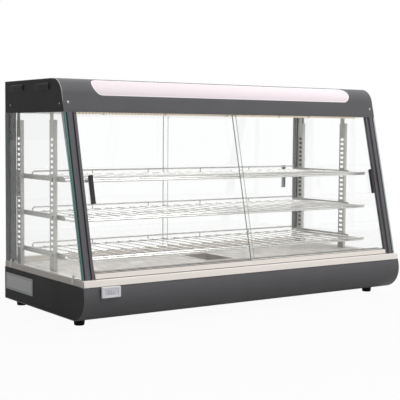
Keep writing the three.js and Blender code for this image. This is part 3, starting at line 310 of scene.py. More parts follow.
def slab(form, outline, low, high, axis="x", rounding=0.4, finish=0, cap_finish=None, move=None, steps=3,
         fade=0.0):
    """An outline along an axis, whose ends draw in by rounding times one less sine, over one less cosine.

    The finish is a number, or a rule that gives each side its number from the sides' normals.
    """
    outline = ccw(outline)
    turn = np.linspace(0, math.pi / 2, steps + 1)
    inset, rise = rounding * (1 - np.sin(turn)), rounding * (1 - np.cos(turn))
    inner = rounding + min(RIM_STRIP, (high - low) / 3)
    inset = np.concatenate([inset, [0, 0], inset[::-1]])
    level = np.concatenate([low + rise, [low + inner, high - inner], high - rise[::-1]])
    wear = np.where(inset > 0, 1.0, 0.4)
    wear[[steps + 1, steps + 2]] = 0
    if fade:
        inset = np.concatenate([[fade], inset, [fade]])
        level = np.concatenate([level[:1], level, level[-1:]])
        wear = np.concatenate([[0], wear, [0]])
    if callable(finish):
        edge = unit(np.roll(outline, -1, 0) - outline)
        cap_finish = 0 if cap_finish is None else cap_finish
        finish = np.tile(finish(np.stack([edge[:, 1], -edge[:, 0]], 1)), len(level) - 1)
    drawn = offset_path(outline, -1, True) - outline
    flat = outline[None] + drawn[None] * inset[:, None, None]
    points = lifted(flat, level[:, None, None])[..., ORDER[axis]]
    return loft(form, points if move is None else move(points), False, finish, cap_finish, wear)


def pierced(form, outline, holes, low, high, rounding=0.2):
    """A plate across X with holes: each loop steps back by the rounding at both faces, which are filled."""
    loops = [ccw(outline)] + [ccw(hole)[::-1] for hole in holes]
    inset = np.array([rounding, 0, 0, rounding])[:, None, None]
    level = np.array([low, low + rounding, high - rounding, high])[:, None, None]
    lower, upper = [], []
    for loop in loops:
        flat = loop[None] + (offset_path(loop, -1, True) - loop)[None] * inset
        numbers = form.total + np.arange(len(loop))
        form.add(lifted(flat, level)[..., ORDER["x"]], grid_faces(4, len(loop), False, True))
        lower.append(numbers)
        upper.append(numbers + 3 * len(loop))
    fill = np.array(tessellate_polygon([loop.tolist() for loop in loops]))
    for numbers, faces in ((lower, fill[:, ::-1]), (upper, fill)):
        form.faces += np.concatenate(numbers)[faces].tolist()
        form.finish += [0] * len(faces)
    return form


def tube(form, path, radius, side, sides=10, closed=False, finish=0, domed=False):
    """A circle carried along a path: radius times cosine of the side way and sine of the way across it."""
    path = np.asarray(path, float)
    radius = np.broadcast_to(np.asarray(radius, float), len(path)).copy()
    side = np.broadcast_to(np.asarray(side, float), path.shape)
    if closed:
        along = unit(np.roll(path, -1, 0) - np.roll(path, 1, 0))
    else:
        along = unit(np.gradient(path, axis=0))
    if domed:
        turn = np.radians([85.0, 60.0, 30.0])
        before = path[0] - along[0] * radius[0] * np.sin(turn)[:, None]
        after = path[-1] + along[-1] * radius[-1] * np.sin(turn[::-1])[:, None]
        path = np.concatenate([before, path, after])
        radius = np.concatenate([radius[0] * np.cos(turn), radius, radius[-1] * np.cos(turn[::-1])])
        along = np.concatenate([along[[0, 0, 0]], along, along[[-1, -1, -1]]])
        side = np.concatenate([side[[0, 0, 0]], side, side[[-1, -1, -1]]])
    across = unit(np.cross(along, side))
    a = np.linspace(0, 2 * math.pi, sides, endpoint=False)[None, :, None]
    spoke = np.cos(a) * side[:, None] + np.sin(a) * across[:, None]
    return loft(form, path[:, None] + radius[:, None, None] * spoke, closed, finish)


def turned(form, profile, centre, axis="z", sides=32, finish=0):
    """Pairs of radius and height swung once round an axis through the centre."""
    profile = np.asarray(profile, float)
    a = np.linspace(0, 2 * math.pi, sides, endpoint=False)[None, :]
    r, h = profile[:, :1], profile[:, 1:]
    flat = np.stack([r * np.cos(a), r * np.sin(a), np.broadcast_to(h, (len(profile), sides))], -1)
    form.add(flat[..., ORDER[axis]] + np.asarray(centre, float), grid_faces(len(profile), sides, False, True),
             finish)
    return form


def thick(form, outer, inner, walls=(0, 0, 0, 0)):
    """Two equal grids as the faces of a plate, joined by a wall along each of their four borders."""
    rows, columns = outer.shape[:2]
    numbers = np.arange(rows * columns).reshape(rows, columns)
    faces = grid_faces(rows, columns)
    start, under = form.total, rows * columns
    form.add(np.concatenate([outer.reshape(-1, 3), inner.reshape(-1, 3)]),
             np.concatenate([faces, faces[:, ::-1] + under]))
    for line, wall in zip((numbers[0], numbers[-1], numbers[:, 0], numbers[:, -1]), walls):
        strip = np.stack([line[:-1], line[1:], line[1:] + under, line[:-1] + under], 1) + start
        form.faces += strip.tolist()
        form.finish += [wall] * len(strip)
    return form


def sash(points):
    """Local width, depth behind the face and way up the lean become a place in the case."""
    x, back, up = np.moveaxis(np.asarray(points, float), -1, 0)
    return np.stack([x, front(SILL) + back * math.cos(LEAN) + up * math.sin(LEAN),
                     SILL - back * math.sin(LEAN) + up * math.cos(LEAN)], -1)


def leaned(points):
    """Adds the lean's share of height to a depth measured from the foot of the front."""
    x, y, z = np.moveaxis(np.asarray(points, float), -1, 0)
    return np.stack([x, y + front(SILL) + (z - SILL) * math.tan(LEAN), z], -1)


def up_lean(level, back):
    """Way up the lean of a level at a depth behind the face."""
    return (level - SILL + back * math.sin(LEAN)) / math.cos(LEAN)


# Finishes

BARE = (0.5, 0.5, 0.5, 1)


def node(tree, kind, inputs=None, **settings):
    """A shader node with its settings, values and links."""
    made = tree.nodes.new("ShaderNode" + kind)
    for key, value in settings.items():
        setattr(made, key, value)
    for key, value in (inputs or {}).items():
        if isinstance(value, bpy.types.NodeSocket):
            tree.links.new(value, made.inputs[key])
        else:
            made.inputs[key].default_value = value
    return made


def mixed(tree, share, first, second):
    """Colour between two, by a share."""
    return node(tree, "Mix", {0: share, 6: first, 7: second}, data_type="RGBA").outputs[2]


def spread(tree, value, low, high, to_low=0.0, to_high=1.0):
    """A value brought from one range to another and held inside it."""
    return node(tree, "MapRange", {0: value, 1: low, 2: high, 3: to_low, 4: to_high}).outputs[0]


def sum_of(tree, first, second, operation="ADD"):
    """Two values put together by a sum or another operation."""
    return node(tree, "Math", {0: first, 1: second}, operation=operation).outputs[0]


def product(tree, first, second):
    """Two values multiplied."""
    return sum_of(tree, first, second, "MULTIPLY")


def own_place(tree):
    """A point in the piece's own coordinates."""
    return node(tree, "TexCoord").outputs["Object"]


def drawn_out(tree, place, stretch):
    """A place with each direction scaled."""
    return node(tree, "VectorMath", {0: place, 1: stretch}, operation="MULTIPLY").outputs[0]


def noise(tree, place, scale, detail, **settings):
    """Noise at a place, between nought and one."""
    return node(tree, "TexNoise", {"Vector": place, "Scale": scale, "Detail": detail, **settings}).outputs[0]


def grain_group(tree, given):
    """Noise stretched by a vector: fine lines or grain, with slow blotches in colour and roughness."""
    place = own_place(tree)
    fine = noise(tree, drawn_out(tree, place, given["Stretch"]), given["Grain Scale"], 3.0)
    slow = noise(tree, place, given["Blotch Scale"], 5.0, Roughness=0.6)
    grain = product(tree, spread(tree, fine, 0.3, 0.7), given["Grain Share"])
    share = sum_of(tree, grain, spread(tree, slow, 0.3, 0.7, 0.0, 0.5))
    swing, lines = (product(tree, spread(tree, value, 0.3, 0.7, -0.5, 0.5), given["Roughness Swing"])
                    for value in (slow, fine))
    return {"Colour": mixed(tree, share, given["Colour"], given["Second Colour"]),
            "Roughness": sum_of(tree, sum_of(tree, swing, lines), given["Roughness"]), "Height": fine}


def rub_group(tree, given):
    """Rim wear: the piece's wear attribute, broken up by noise, lets a second colour through."""
    wear = node(tree, "Attribute", attribute_name="wear").outputs["Fac"]
    worn = spread(tree, sum_of(tree, wear, noise(tree, own_place(tree), given["Scale"], 6.0)), 1.0, 1.55)
    share = product(tree, worn, given["Amount"])
    return {"Colour": mixed(tree, share, given["Colour"], given["Second Colour"])}


def linen_group(tree, given):
    """Embossed linen: two sines along the deck's diagonals, put off line a little, over drawn-out clouds."""
    place = own_place(tree)
    drift, waves = spread(tree, noise(tree, place, 70.0, 2.0), 0.3, 0.7, -2.2, 2.2), []
    for way in ((0.7, 0.7, 0.0), (0.7, -0.7, 0.0)):
        run = node(tree, "VectorMath", {0: place, 1: way}, operation="DOT_PRODUCT").outputs["Value"]
        waves.append(sum_of(tree, sum_of(tree, product(tree, run, given["Turns"]), drift), 0.0, "SINE"))
    height = spread(tree, sum_of(tree, *waves), -1.3, 1.3)
    cloud = noise(tree, drawn_out(tree, place, (1.0, 0.4, 1.0)), 48.0, 1.0)
    share = sum_of(tree, product(tree, height, 0.4), spread(tree, cloud, 0.35, 0.65, 0.0, 0.6))
    return {"Colour": mixed(tree, share, given["Second Colour"], given["Colour"]), "Height": height}


def spangle_group(tree, given):
    """Zinc crystals: cells that each take their own grey."""
    cells = node(tree, "TexVoronoi", {"Vector": own_place(tree), "Scale": given["Scale"]}).outputs["Color"]
    value = node(tree, "SeparateColor", {0: cells}).outputs[0]
    return {"Colour": mixed(tree, value, given["Colour"], given["Second Colour"]), "Height": value}


GROUPS = {
    "grain": (grain_group, {"Stretch": (1, 1, 1), "Grain Scale": 700, "Grain Share": 0.3, "Blotch Scale": 8,
                            "Roughness": 0.5, "Roughness Swing": 0.1}),
    "rubbed rims": (rub_group, {"Amount": 0.5, "Scale": 120}),
    "linen emboss": (linen_group, {"Turns": 780}),
    "zinc spangle": (spangle_group, {"Scale": 90}),
}


def make_group(name):
    """A node group from its row of the table: a socket takes its kind from its name and its value."""
    build, numbers = GROUPS[name]
    tree = bpy.data.node_groups.new(name, "ShaderNodeTree")
    for label, value in {"Colour": BARE, "Second Colour": BARE, **numbers}.items():
        kind = {4: "Color", 3: "Vector"}.get(np.size(value), "Float")
        socket = tree.interface.new_socket(name=label, in_out="INPUT", socket_type="NodeSocket" + kind)
        socket.default_value = value
    results = build(tree, tree.nodes.new("NodeGroupInput").outputs)
    for label in results:
        kind = "Color" if label == "Colour" else "Float"
        tree.interface.new_socket(name=label, in_out="OUTPUT", socket_type="NodeSocket" + kind)
    out = tree.nodes.new("NodeGroupOutput").inputs
    for label, value in results.items():
        tree.links.new(value, out[label])
    return tree


def placed(tree, name, inputs):
    """The outputs of one copy of a node group in a material, with its own values."""
    return node(tree, "Group", inputs, node_tree=bpy.data.node_groups.get(name) or make_group(name)).outputs


def new_material(name):
    """A material with its tree and its Principled shader."""
    material = bpy.data.materials.new(name)
    material.use_nodes = True
    return material, material.node_tree, material.node_tree.nodes["Principled BSDF"]


def blend(tree, share, other):
    """Lets another shader through the Principled one by a share."""
    first = tree.nodes["Principled BSDF"].outputs[0]
    mix = node(tree, "MixShader", {0: share, 1: first, 2: other.outputs[0]})
    tree.links.new(mix.outputs[0], tree.nodes["Material Output"].inputs["Surface"])


def scaled(colour, factor):
    """A colour made lighter or darker."""
    return tuple(min(1.0, c * factor) for c in colour)


def rgba(colour, factor=1.0):
    """A colour with full alpha, scaled."""
    return scaled(colour, factor) + (1.0,)


def surface(name, colour, roughness, metallic=0.0, second=0.8, stretch=(1, 1, 1), grain=700, grain_share=0.3,
            blotch=8, swing=0.1, bump=0.05, depth=0.0002, rubbed=None, amount=0.5, weave=None, **sockets):
    """A Principled material fed by the grain group; the second colour may be a share of the first."""
    material, tree, shader = new_material(name)
    first = rgba(colour)
    if weave:
        kind, share = weave
        woven = placed(tree, kind, {"Colour": first, "Second Colour": rgba(colour, share)})
        first = woven["Colour"]
    detail = placed(tree, "grain", {
        "Colour": first, "Second Colour": rgba(second) if np.size(second) == 3 else rgba(colour, second),
        "Stretch": stretch, "Grain Scale": grain, "Grain Share": grain_share, "Blotch Scale": blotch,
        "Roughness": roughness, "Roughness Swing": swing})
    out, height = detail["Colour"], detail["Height"]
    if rubbed:
        out = placed(tree, "rubbed rims", {"Colour": out, "Second Colour": rgba(rubbed), "Amount": amount})[0]
    if weave:
        height = sum_of(tree, height, woven["Height"])
    relief = node(tree, "Bump", {"Height": height, "Strength": bump, "Distance": depth})
    tree.links.new(out, shader.inputs["Base Color"])
    tree.links.new(detail["Roughness"], shader.inputs["Roughness"])
    tree.links.new(relief.outputs["Normal"], shader.inputs["Normal"])
    shader.inputs["Metallic"].default_value = metallic
    for key, value in sockets.items():
        shader.inputs[key.replace("_", " ")].default_value = value
    return material


ALONG_X, ALONG_Y, ALONG_Z = (0.02, 1, 1), (1, 0.04, 1), (1, 1, 0.03)


def make_finishes():
    """All the finishes of the case, by name."""
    tint = bpy.context.scene.case_colours
    coat, side_coat, steel, upright, post, edge, window = (
        tuple(getattr(tint, key)) for key in tint.__annotations__)
    grey = (0.42, 0.42, 0.44)
    made = {
        "coat": surface("charcoal coat", coat, 0.4, 0.2, 0.82, grain=1400, bump=0.1, rubbed=grey, amount=0.35,
                        Specular_IOR_Level=0.75),
        # Painted shade: the side coat is the charcoal paint made darker for the sides that face away from the
        # light.
        "side coat": surface("side coat", side_coat, 0.55, 0.05, grain=1400, grain_share=0.15, bump=0.06,
                             rubbed=grey, amount=0.2, Specular_IOR_Level=0.4),
        # Painted shade: near-black for the louvre mouths, standing in for the shade in the openings; it also
        # colours the small dark screws.
        "dark": surface("dark hollow", (0.016, 0.016, 0.016), 0.8, grain=400),
        # Partly painted highlight: a real bead of bare metal, whose light grey also stands in for the
        # highlight along the hood's edge.
        "rim metal": surface("bare rim metal", (0.56, 0.56, 0.58), 0.38, 0.4, stretch=(0.05, 1, 1),
                             grain=900),
        "steel": surface("brushed steel", steel, 0.34, 0.45, 0.94, ALONG_X, 1800, 0.5, 3, 0.06, 0.04,
                         rubbed=(0.95, 0.93, 0.9)),
        # Painted shade: a darker copy of the brushed steel for the ledge's end faces, with its grain running
        # across them.
        "ledge end": surface("ledge end steel", scaled(steel, 0.78), 0.4, 0.3, scaled(steel, 0.66),
                             (1, 0.02, 1), 1500, bump=0.04),
        "deck": surface("linen steel", scaled(steel, 0.72), 0.45, 0.15, scaled(steel, 0.5), grain=500,
                        grain_share=0.15, bump=0.9, depth=0.0007, weave=("linen emboss", 0.42),
                        Specular_IOR_Level=0.3),
        "tray": surface("pressed steel", scaled(steel, 0.64), 0.33, 0.7, 0.8, ALONG_Y, 1200),
        "upright": surface("satin steel", upright, 0.34, 0.7, 0.75, (1, 1, 0.04), 1300, 0.5, 9, bump=0.1),
        # Painted light: a brighter copy of the satin steel for the uprights' front faces, which face the
        # light.
        "rail face": surface("rail face steel", scaled(upright, 1.35), 0.34, 0.5, scaled(upright, 1.1),
                             (1, 1, 0.04), 1300, bump=0.08),
        "bracket": surface("rolled steel", scaled(upright, 0.95), 0.36, 0.65, scaled(upright, 0.7), ALONG_Y,
                           1200),
        "post": surface("satin post metal", post, 0.36, 0.45, 0.8, ALONG_Z, 1400, 0.4, bump=0.1,
                        rubbed=(0.42, 0.42, 0.43), amount=0.3),
        "rear post": surface("rear post coat", (0.022, 0.021, 0.02), 0.5, 0.0, (0.016, 0.015, 0.014), ALONG_Z,
                             1400, bump=0.08, Specular_IOR_Level=0.2),
        # Painted reflection: the rear posts' sides along X take a lighter grey than their dark coat, for the
        # glass's reflection on them.
        "post side": surface("bare post side", (0.30, 0.30, 0.30), 0.36, 0.35, (0.22, 0.22, 0.22), ALONG_Z,
                             1400, 0.4, bump=0.08),
        "zinc": surface("galvanised sheet", (0.47, 0.48, 0.49), 0.48, 0.75, blotch=14, bump=0.1,
                        weave=("zinc spangle", 0.66)),
        "wire": surface("bright wire", (0.80, 0.79, 0.77), 0.2, 0.85, (0.55, 0.54, 0.53), grain=300,
                        blotch=22, swing=0.14),
        "rubber": surface("black rubber", (0.018, 0.018, 0.018), 0.82, 0.0, (0.03, 0.03, 0.03), grain=1800,
                          bump=0.3),
        "black plastic": surface("black moulding", (0.022, 0.022, 0.023), 0.42, 0.0, (0.03, 0.03, 0.032),
                                 grain=1600, bump=0.3, rubbed=(0.09, 0.09, 0.09), amount=0.4),
        "grey plastic": surface("grey moulding", (0.62, 0.66, 0.72), 0.4, 0.0, (0.54, 0.57, 0.62), grain=1600,
                                bump=0.2, rubbed=(0.7, 0.73, 0.77), amount=0.4),
        "white plastic": surface("white moulding", (0.8, 0.8, 0.8), 0.38, 0.0, (0.7, 0.7, 0.71), grain=1500,
                                 bump=0.15, rubbed=(0.9, 0.9, 0.9), amount=0.3),
        "display": surface("display glass", (0.74, 0.71, 0.80), 0.12, 0.0, (0.67, 0.64, 0.75), grain=200,
                           bump=0.0, Coat_Weight=0.6),
        "segments": surface("display segments", (0.24, 0.23, 0.30), 0.3, grain=900),
        "window": surface("milky cover", window, 0.3, 0.0, 0.965, ALONG_X, 500, blotch=3, bump=0.02,
                          Emission_Color=(1.0, 0.94, 0.98, 1), Emission_Strength=0.03),
        # Painted highlight: the lip glows more than the cover, for the bright outline round the window.
        "window lip": surface("window lip", (0.93, 0.90, 0.92), 0.3, 0.0, (0.86, 0.83, 0.85), grain=600,
                              Emission_Color=(1, 0.98, 0.99, 1), Emission_Strength=0.12),
        # Painted light: the strip's own body glows, more than its light points, though it is no lamp.
        "strip": surface("light strip", (0.90, 0.82, 0.68), 0.4, 0.0, (0.84, 0.76, 0.62), grain=500,
                         Emission_Color=(1.0, 0.9, 0.74, 1), Emission_Strength=0.3),
        "points": surface("light points", (0.72, 0.52, 0.30), 0.3, 0.0, (0.60, 0.42, 0.24), grain=900,
                          Emission_Color=(1.0, 0.72, 0.4, 1), Emission_Strength=0.12),
        "lamp": surface("lamp tube", (0.9, 0.9, 0.88), 0.25, grain=300, Emission_Color=(1.0, 0.96, 0.9, 1),
                        Emission_Strength=0.6),
        "liner": surface("liner enamel", (0.78, 0.75, 0.71), 0.42, grain=1100, bump=0.2, blotch=5),
        "heater": surface("heat-tinted sheath", (0.14, 0.12, 0.115), 0.42, 0.8, (0.22, 0.15, 0.13), grain=300,
                          grain_share=0.5, blotch=18),
        "amber": surface("amber lens", (0.72, 0.26, 0.05), 0.15, 0.0, (0.6, 0.18, 0.03), grain=300,
                         Coat_Weight=0.5),
        "marks": surface("white print", (0.78, 0.78, 0.77), 0.5, grain=800),
        "plate": surface("pale plate", (0.62, 0.64, 0.66), 0.4, 0.1, (0.54, 0.56, 0.58), blotch=16,
                         rubbed=(0.4, 0.42, 0.44), amount=0.3),
        "glass edge": surface("glass edge", edge, 0.16, 0.0, 0.6, (1, 1, 0.1), 260, 0.5, Coat_Weight=0.5),
        "pane edge": surface("pane edge", (0.40, 0.47, 0.45), 0.2, 0.0, (0.28, 0.35, 0.33), (1, 1, 0.1), 260,
                             Coat_Weight=0.5),
        "glass": surface("float glass", (0.996, 1.0, 0.998), 0.008, 0.0, (0.99, 0.998, 0.995), grain=60,
                         grain_share=0.2, blotch=4, swing=0.01, bump=0.0, Transmission_Weight=1.0, IOR=1.45,
                         Specular_IOR_Level=0.15),
    }
    tree = made["glass"].node_tree
    clear = node(tree, "BsdfTransparent", {"Color": (0.97, 0.985, 0.98, 1)})
    blend(tree, node(tree, "LightPath").outputs["Is Shadow Ray"], clear)
    return made


FINISHES = {}


def looks(*names):
    """Materials by the names of their finishes."""
    if not FINISHES:
        FINISHES.update(make_finishes())
    return [FINISHES[name] for name in names]


def piece(name, form, finishes, stands_for=None, body="case", angle=35, level=True, shell=0.0):
    """A mesh from gathered grids: doubles merged, faces turned outwards, smooth but for sharp edges."""
    mesh = bpy.data.meshes.new(name)
    mesh.from_pydata((np.concatenate(form.points) * MM).tolist(), [], form.faces)
    mesh.polygons.foreach_set("material_index", np.array(form.finish, np.int32))
    wear = mesh.attributes.new("wear", "FLOAT", "POINT")
    wear.data.foreach_set("value", np.concatenate(form.wear).astype(np.float32))
    merged = bmesh.new()
    merged.from_mesh(mesh)
    bmesh.ops.remove_doubles(merged, verts=merged.verts, dist=2e-6)
    bmesh.ops.dissolve_degenerate(merged, edges=merged.edges, dist=1e-7)
    bmesh.ops.recalc_face_normals(merged, faces=merged.faces)
    merged.to_mesh(mesh)
    merged.free()
    mesh.shade_smooth()
    mesh.set_sharp_from_angle(angle=math.radians(angle))
    thing = bpy.data.objects.new(name, mesh)
    bpy.context.scene.collection.objects.link(thing)
    for material in looks(*finishes):
        mesh.materials.append(material)
    if shell:
        wall = thing.modifiers.new("sheet thickness", "SOLIDIFY")
        wall.thickness, wall.offset = shell * MM, -1
    if level:
        thing.modifiers.new("level normals", "WEIGHTED_NORMAL").keep_sharp = True
    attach(thing, body)
    if stands_for:
        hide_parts(stands_for)


def dress(name, finish_name):
    """Gives a packed node its finish."""
    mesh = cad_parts[name].data
    mesh.materials.clear()
    mesh.materials.append(*looks(finish_name))


OPERATORS = []


def operator(identifier, label):
    """Gives a builder its operator, which takes over the builder's docstring."""
    def register_builder(build):
        class Build(bpy.types.Operator):
            __doc__ = build.__doc__
            bl_idname = "display_case." + identifier
            bl_label = label

            def execute(self, context):
                build()
                return {"FINISHED"}

        OPERATORS.append(Build)
        return build

    return register_builder


# Base


def nose_path(inset=0.0):
    """Skin of the base front: a toe arc, then a wider brow arc, each with its radius less the inset."""
    steps = bpy.context.scene.case_shape.nose_steps
    level, brow = BASE_LOW + TOE, BROW - inset
    rise = math.degrees(math.asin((BASE_TOP - level) / brow))
    return np.concatenate([arc(FRONT + TOE, level, TOE - inset, 270, 180, steps),
                           arc(FRONT + BROW, level, brow, 180, 180 - rise, steps // 3)[1:]])


@operator("base", "Base")
def build_base():
    """Builds the rounded front skin, the cheeks, the side plate and the feet."""
    skin = nose_path()
    edge = skin[-1, 0]
    lip = edge + LIP + 0.3
    path = np.concatenate([[[FRONT_RETURN, BASE_LOW]], skin, [[edge + LIP, BASE_TOP]]])
    soft = np.zeros(len(path))
    soft[-2] = 1.6
    path = fillet(path, soft, 4, False)
    form = slab(Form(), np.concatenate([path, offset_path(path, SHEET)[::-1]]), -HALF, HALF, "x",
                bpy.context.scene.case_shape.rim)
    piece("base_front_skin", form, ["coat"], "base_front_panel")
    inner = nose_path(1.8)
    inner = inner[inner[:, 1] < BASE_TOP - 1.8]
    rear, low = REAR - SHEET, BASE_LOW + SHEET
    outline = np.concatenate([[[rear, low], [FRONT_RETURN + 0.3, low]], inner,
                              [[edge + 2.1, BASE_TOP - 1.8], [lip, BASE_TOP - 1.8], [lip, BASE_TOP],
                               [rear, BASE_TOP]]])
    flange = box_outline(lip, rear, BASE_TOP - 2, BASE_TOP)
    for side, sign in SIDES:
        form = slab(Form(), outline, *span(sign, HALF - 2, HALF - 0.5), "x", 0.5, fade=2.5)
        slab(form, flange, *span(sign, HALF - 15, HALF - 1), "x", 0.3)
        # The cheeks take the darker side coat: painted shade.
        piece(f"base_{side}_cheek", form, ["side coat"], f"base_{side}_panel")
    form = slab(Form(), box_outline(58, 249, 53.5, 105, 2.5), -HALF + 0.02, -HALF + 0.55, "x", 0.15, fade=2)
    slab(form, box_outline(66, 241, 61, 97.5, 1.5), -HALF, -HALF + 0.5, "x", 0.1, 1)
    piece("base_side_plate", form, ["plate", "white plastic"])
    foot = fillet([[0, 0], [13.6, 0], [14.6, 2], [16.2, 15], [15.2, 16.4], [15.2, 18], [17, 19.4], [17, 22.5],
                   [0, 22.5]], [0, 1.2, 0.6, 0.8, 0.4, 0.4, 0.8, 0.8, 0], 3, False)
    for row, y in (("front", FRONT + 110.5), ("rear", REAR - 31.5)):
        for side, sign in SIDES:
            form = turned(Form(), foot, (sign * (HALF - 42), y, 0), "z", 40)
            piece(f"foot_{row}_{side}_moulding", form, ["rubber"], f"foot_{row}_{side}")
    for name, look in (("base_bottom_pan", "zinc"), ("thermostat_body", "zinc"), ("base_rear_panel", "coat"),
                       ("heating_element", "heater"), ("terminal_block", "white plastic")):
        dress(name, look)


# Ledge, deck and tray


@operator("ledge", "Ledge and deck")
def build_ledge():
    """Builds the ledge as one closed ring of levels, its glass clips and the deck sheet."""
    def skirt(inset, level):
        wide, ahead = HALF - 1.2 - inset, front(level) - LEDGE_STAND + inset
        return [-wide, wide, ahead, REAR - inset, level, max(0.9 - inset / 4, 0.4)]

    def mouth(grow, level, radius=1.2):
        wide = OPEN_HALF + grow
        return [-wide, wide, OPEN_FRONT - grow, OPEN_REAR + grow, level, radius]

    turn = np.radians([90, 67.5, 45, 22.5, 0])
    levels = [skirt(0, BASE_TOP), skirt(0, BASE_TOP + 2), skirt(0, SILL - 3)]
    levels += [skirt(1.6 * (1 - math.sin(a)), SILL - 1.6 + 1.6 * math.cos(a)) for a in turn]
    levels += [skirt(4, SILL), mouth(3.5, SILL)]
    levels += [mouth(1.4 * (1 - math.cos(a)), SILL - 1.4 + 1.4 * math.sin(a)) for a in turn]
    levels += [mouth(0, SILL - 4.5), mouth(-8, SILL - 4.5), mouth(-8, SILL - 6), mouth(1.5, SILL - 6),
               mouth(1.5, SILL - 1.6), skirt(1.5, SILL - 1.6), skirt(1.5, BASE_TOP)]
    wear = np.zeros(len(levels))
    wear[[0, -1]] = 0.8
    wear[4:7] = 1
    wear[12:14] = 0.6
    # The ledge's end faces along X take the darker steel: painted shade.
    ends = np.zeros((len(levels), 16), int)
    ends[:4, [7, 15]] = 1
    form = loft(Form(), rings(levels, 3), True, ends.ravel(), None, wear)
    piece("ledge_ring", form, ["steel", "ledge end"], "ledge_frame")
    form = Form()
    for _, sign in SIDES:
        for y, foot in ((FRONT + 71.5, BASE_TOP + 1.5), (REAR - 41, BASE_TOP + 1.5), (REAR - 85, SILL - 1)):
            path = [[HALF - 3.15, SILL + 8.6], [HALF - 3.15, SILL + 0.1], [HALF - 1.15, SILL + 0.1],
                    [HALF - 1.15, foot]]
            slab(form, folded(path, -1.1, 0.4) * [sign, 1], y - 6, y + 6, "y", 0.3)
            turned(form, [[0, 0.7], [1.6, 0.55], [2.3, 0], [2.3, -0.4]], (sign * (HALF - 3.0), y, SILL + 5),
                   "x", 14)
    piece("glass_clips", form, ["wire"])
    centre = (0, (OPEN_FRONT + OPEN_REAR) / 2)
    opening = nested(centre, [[53.8, 83.8, SILL - 3, 4.5], [53.5, 83.5, SILL - 3.3, 4.5],
                              [53.5, 83.5, SILL - 4.5, 4.5]])
    plate = [mouth(-0.6, SILL - 4.5, 1.5), mouth(-0.6, SILL - 3.3, 1.5), mouth(-0.9, SILL - 3, 1.5)]
    form = loft(Form(), rings([*plate, *opening]), True)
    piece("deck_sheet", form, ["deck"], "deck_plate")


@operator("tray", "Water tray")
def build_tray():
    """Builds the pressed tray: from the bowl's floor over the rim and back under it."""
    low, high = reach("water_tray")
    wide, deep, _ = (high - low) / 2
    top, floor = high[2], low[2] + SHEET
    rows = np.array([[30, floor, 3], [10.5, floor, 3], [8.4, floor + 0.7, 3.2], [7.6, floor + 2.6, 3.2],
                     [7.5, top - 1.6, 3.2], [7.2, top - 0.6, 3.6], [6.4, top, 4.4], [5.4, top, 5],
                     [0.6, top, 9.6], [0.1, top - 0.3, 10], [0, top - 0.8, 10], [0.2, top - 1.5, 10],
                     [5.7, top - 1.5, 4.5], [6, top - 2, 4], [6, floor + 1.5, 4], [7.4, floor - 0.8, 3.6],
                     [9.5, floor - 1.5, 3], [30, floor - 1.5, 3]])
    sizes = np.column_stack([wide - rows[:, 0], deep - rows[:, 0], rows[:, 1:]])
    wear = np.zeros(len(rows))
    wear[4:11] = (0.3, 1, 1, 0.2, 0.2, 1, 1)
    form = loft(Form(), rings(nested(middle("water_tray"), sizes), 6), wear=wear)
    piece("tray_bowl", form, ["tray"], "water_tray", "water_tray")


# Posts, glass and tracks


@operator("posts", "Posts and side glass")
def build_posts():
    """Builds the front channels with their seals, the rear sections and the side panes."""
    channel = [[POST_EDGE, 8.5], [POST_EDGE, 0], [POST_EDGE - 20, 0], [POST_EDGE - 20, 2], [POST_INNER, 2],
               [POST_INNER, 13.7]]
    leg = fillet([[7, SILL + 0.5], [18, SILL + 0.5], [20, HEAD - 170], [29, HEAD], [7, HEAD]], 0.3, 2)
    seal = fillet([[POST_EDGE, 0.4], [POST_EDGE + 1.6, -0.3], [POST_EDGE + 3.2, 0.4], [POST_EDGE + 3.2, 8.5],
                   [POST_EDGE, 8.5]], [0.2, 0.9, 0.2, 0.4, 0.2], 3)
    outer, inner, ahead = POST_HIGH[0], POST_HIGH[0] - REAR_POST_WIDE, REAR - REAR_POST_DEEP
    step = inner - REAR_POST_STEP
    section = fillet([[inner, ahead], [outer, ahead], [outer, REAR], [step, REAR], [step, REAR - 14],
                      [inner, REAR - 14]], [1.2, 1.2, 1.2, 0.8, 0.8, 0.6], 4)
    top, rear = HEAD - 0.3, ahead - 0.3
    pane = fillet([[front(SILL), SILL], [rear, SILL], [rear, top], [front(top), top]], 0.8, 3)
    for side, sign in SIDES:
        form = slab(Form(), folded(channel, SHEET, bpy.context.scene.case_shape.bend) * [sign, 1], SILL, HEAD,
                    "z", 0.2, move=leaned)
        slab(form, leg, *span(sign, POST_EDGE - SHEET, POST_EDGE), "x", 0.2, move=leaned)
        piece(f"front_post_{side}_channel", form, ["post"], f"front_post_{side}")
        form = slab(Form(), seal * [sign, 1], SILL + 0.2, HEAD - 0.2, "z", 0.3, move=leaned)
        piece(f"front_post_{side}_seal", form, ["rubber"])
        # Sides along X take the lighter grey: painted reflection.
        form = slab(Form(), section * [sign, 1], SILL, HEAD, "z", 0.3,
                    lambda way: (abs(way[:, 0]) > 0.7).astype(int))
        piece(f"rear_post_{side}_section", form, ["rear post", "post side"], f"rear_post_{side}")
        form = slab(Form(), pane, *span(sign, HALF - 9.5, HALF - 3.5), "x", 0.6, 1, 0, steps=1)
        piece(f"side_glass_{side}_pane", form, ["glass", "glass edge" if sign < 0 else "pane edge"],
              f"side_glass_{side}", level=False, angle=25)


def grooved(place, backs, high, low, first=(), last=()):
    """Skin of a grooved track: down, across and up again at each pane, between its first and last runs."""
    points = list(first)
    for back in backs:
        for depth, level in ((-1, high), (-1, low), (PANE + 1, low), (PANE + 1, high)):
            points.append([place(level, back + depth), level])
    return np.array(points + list(last), float)


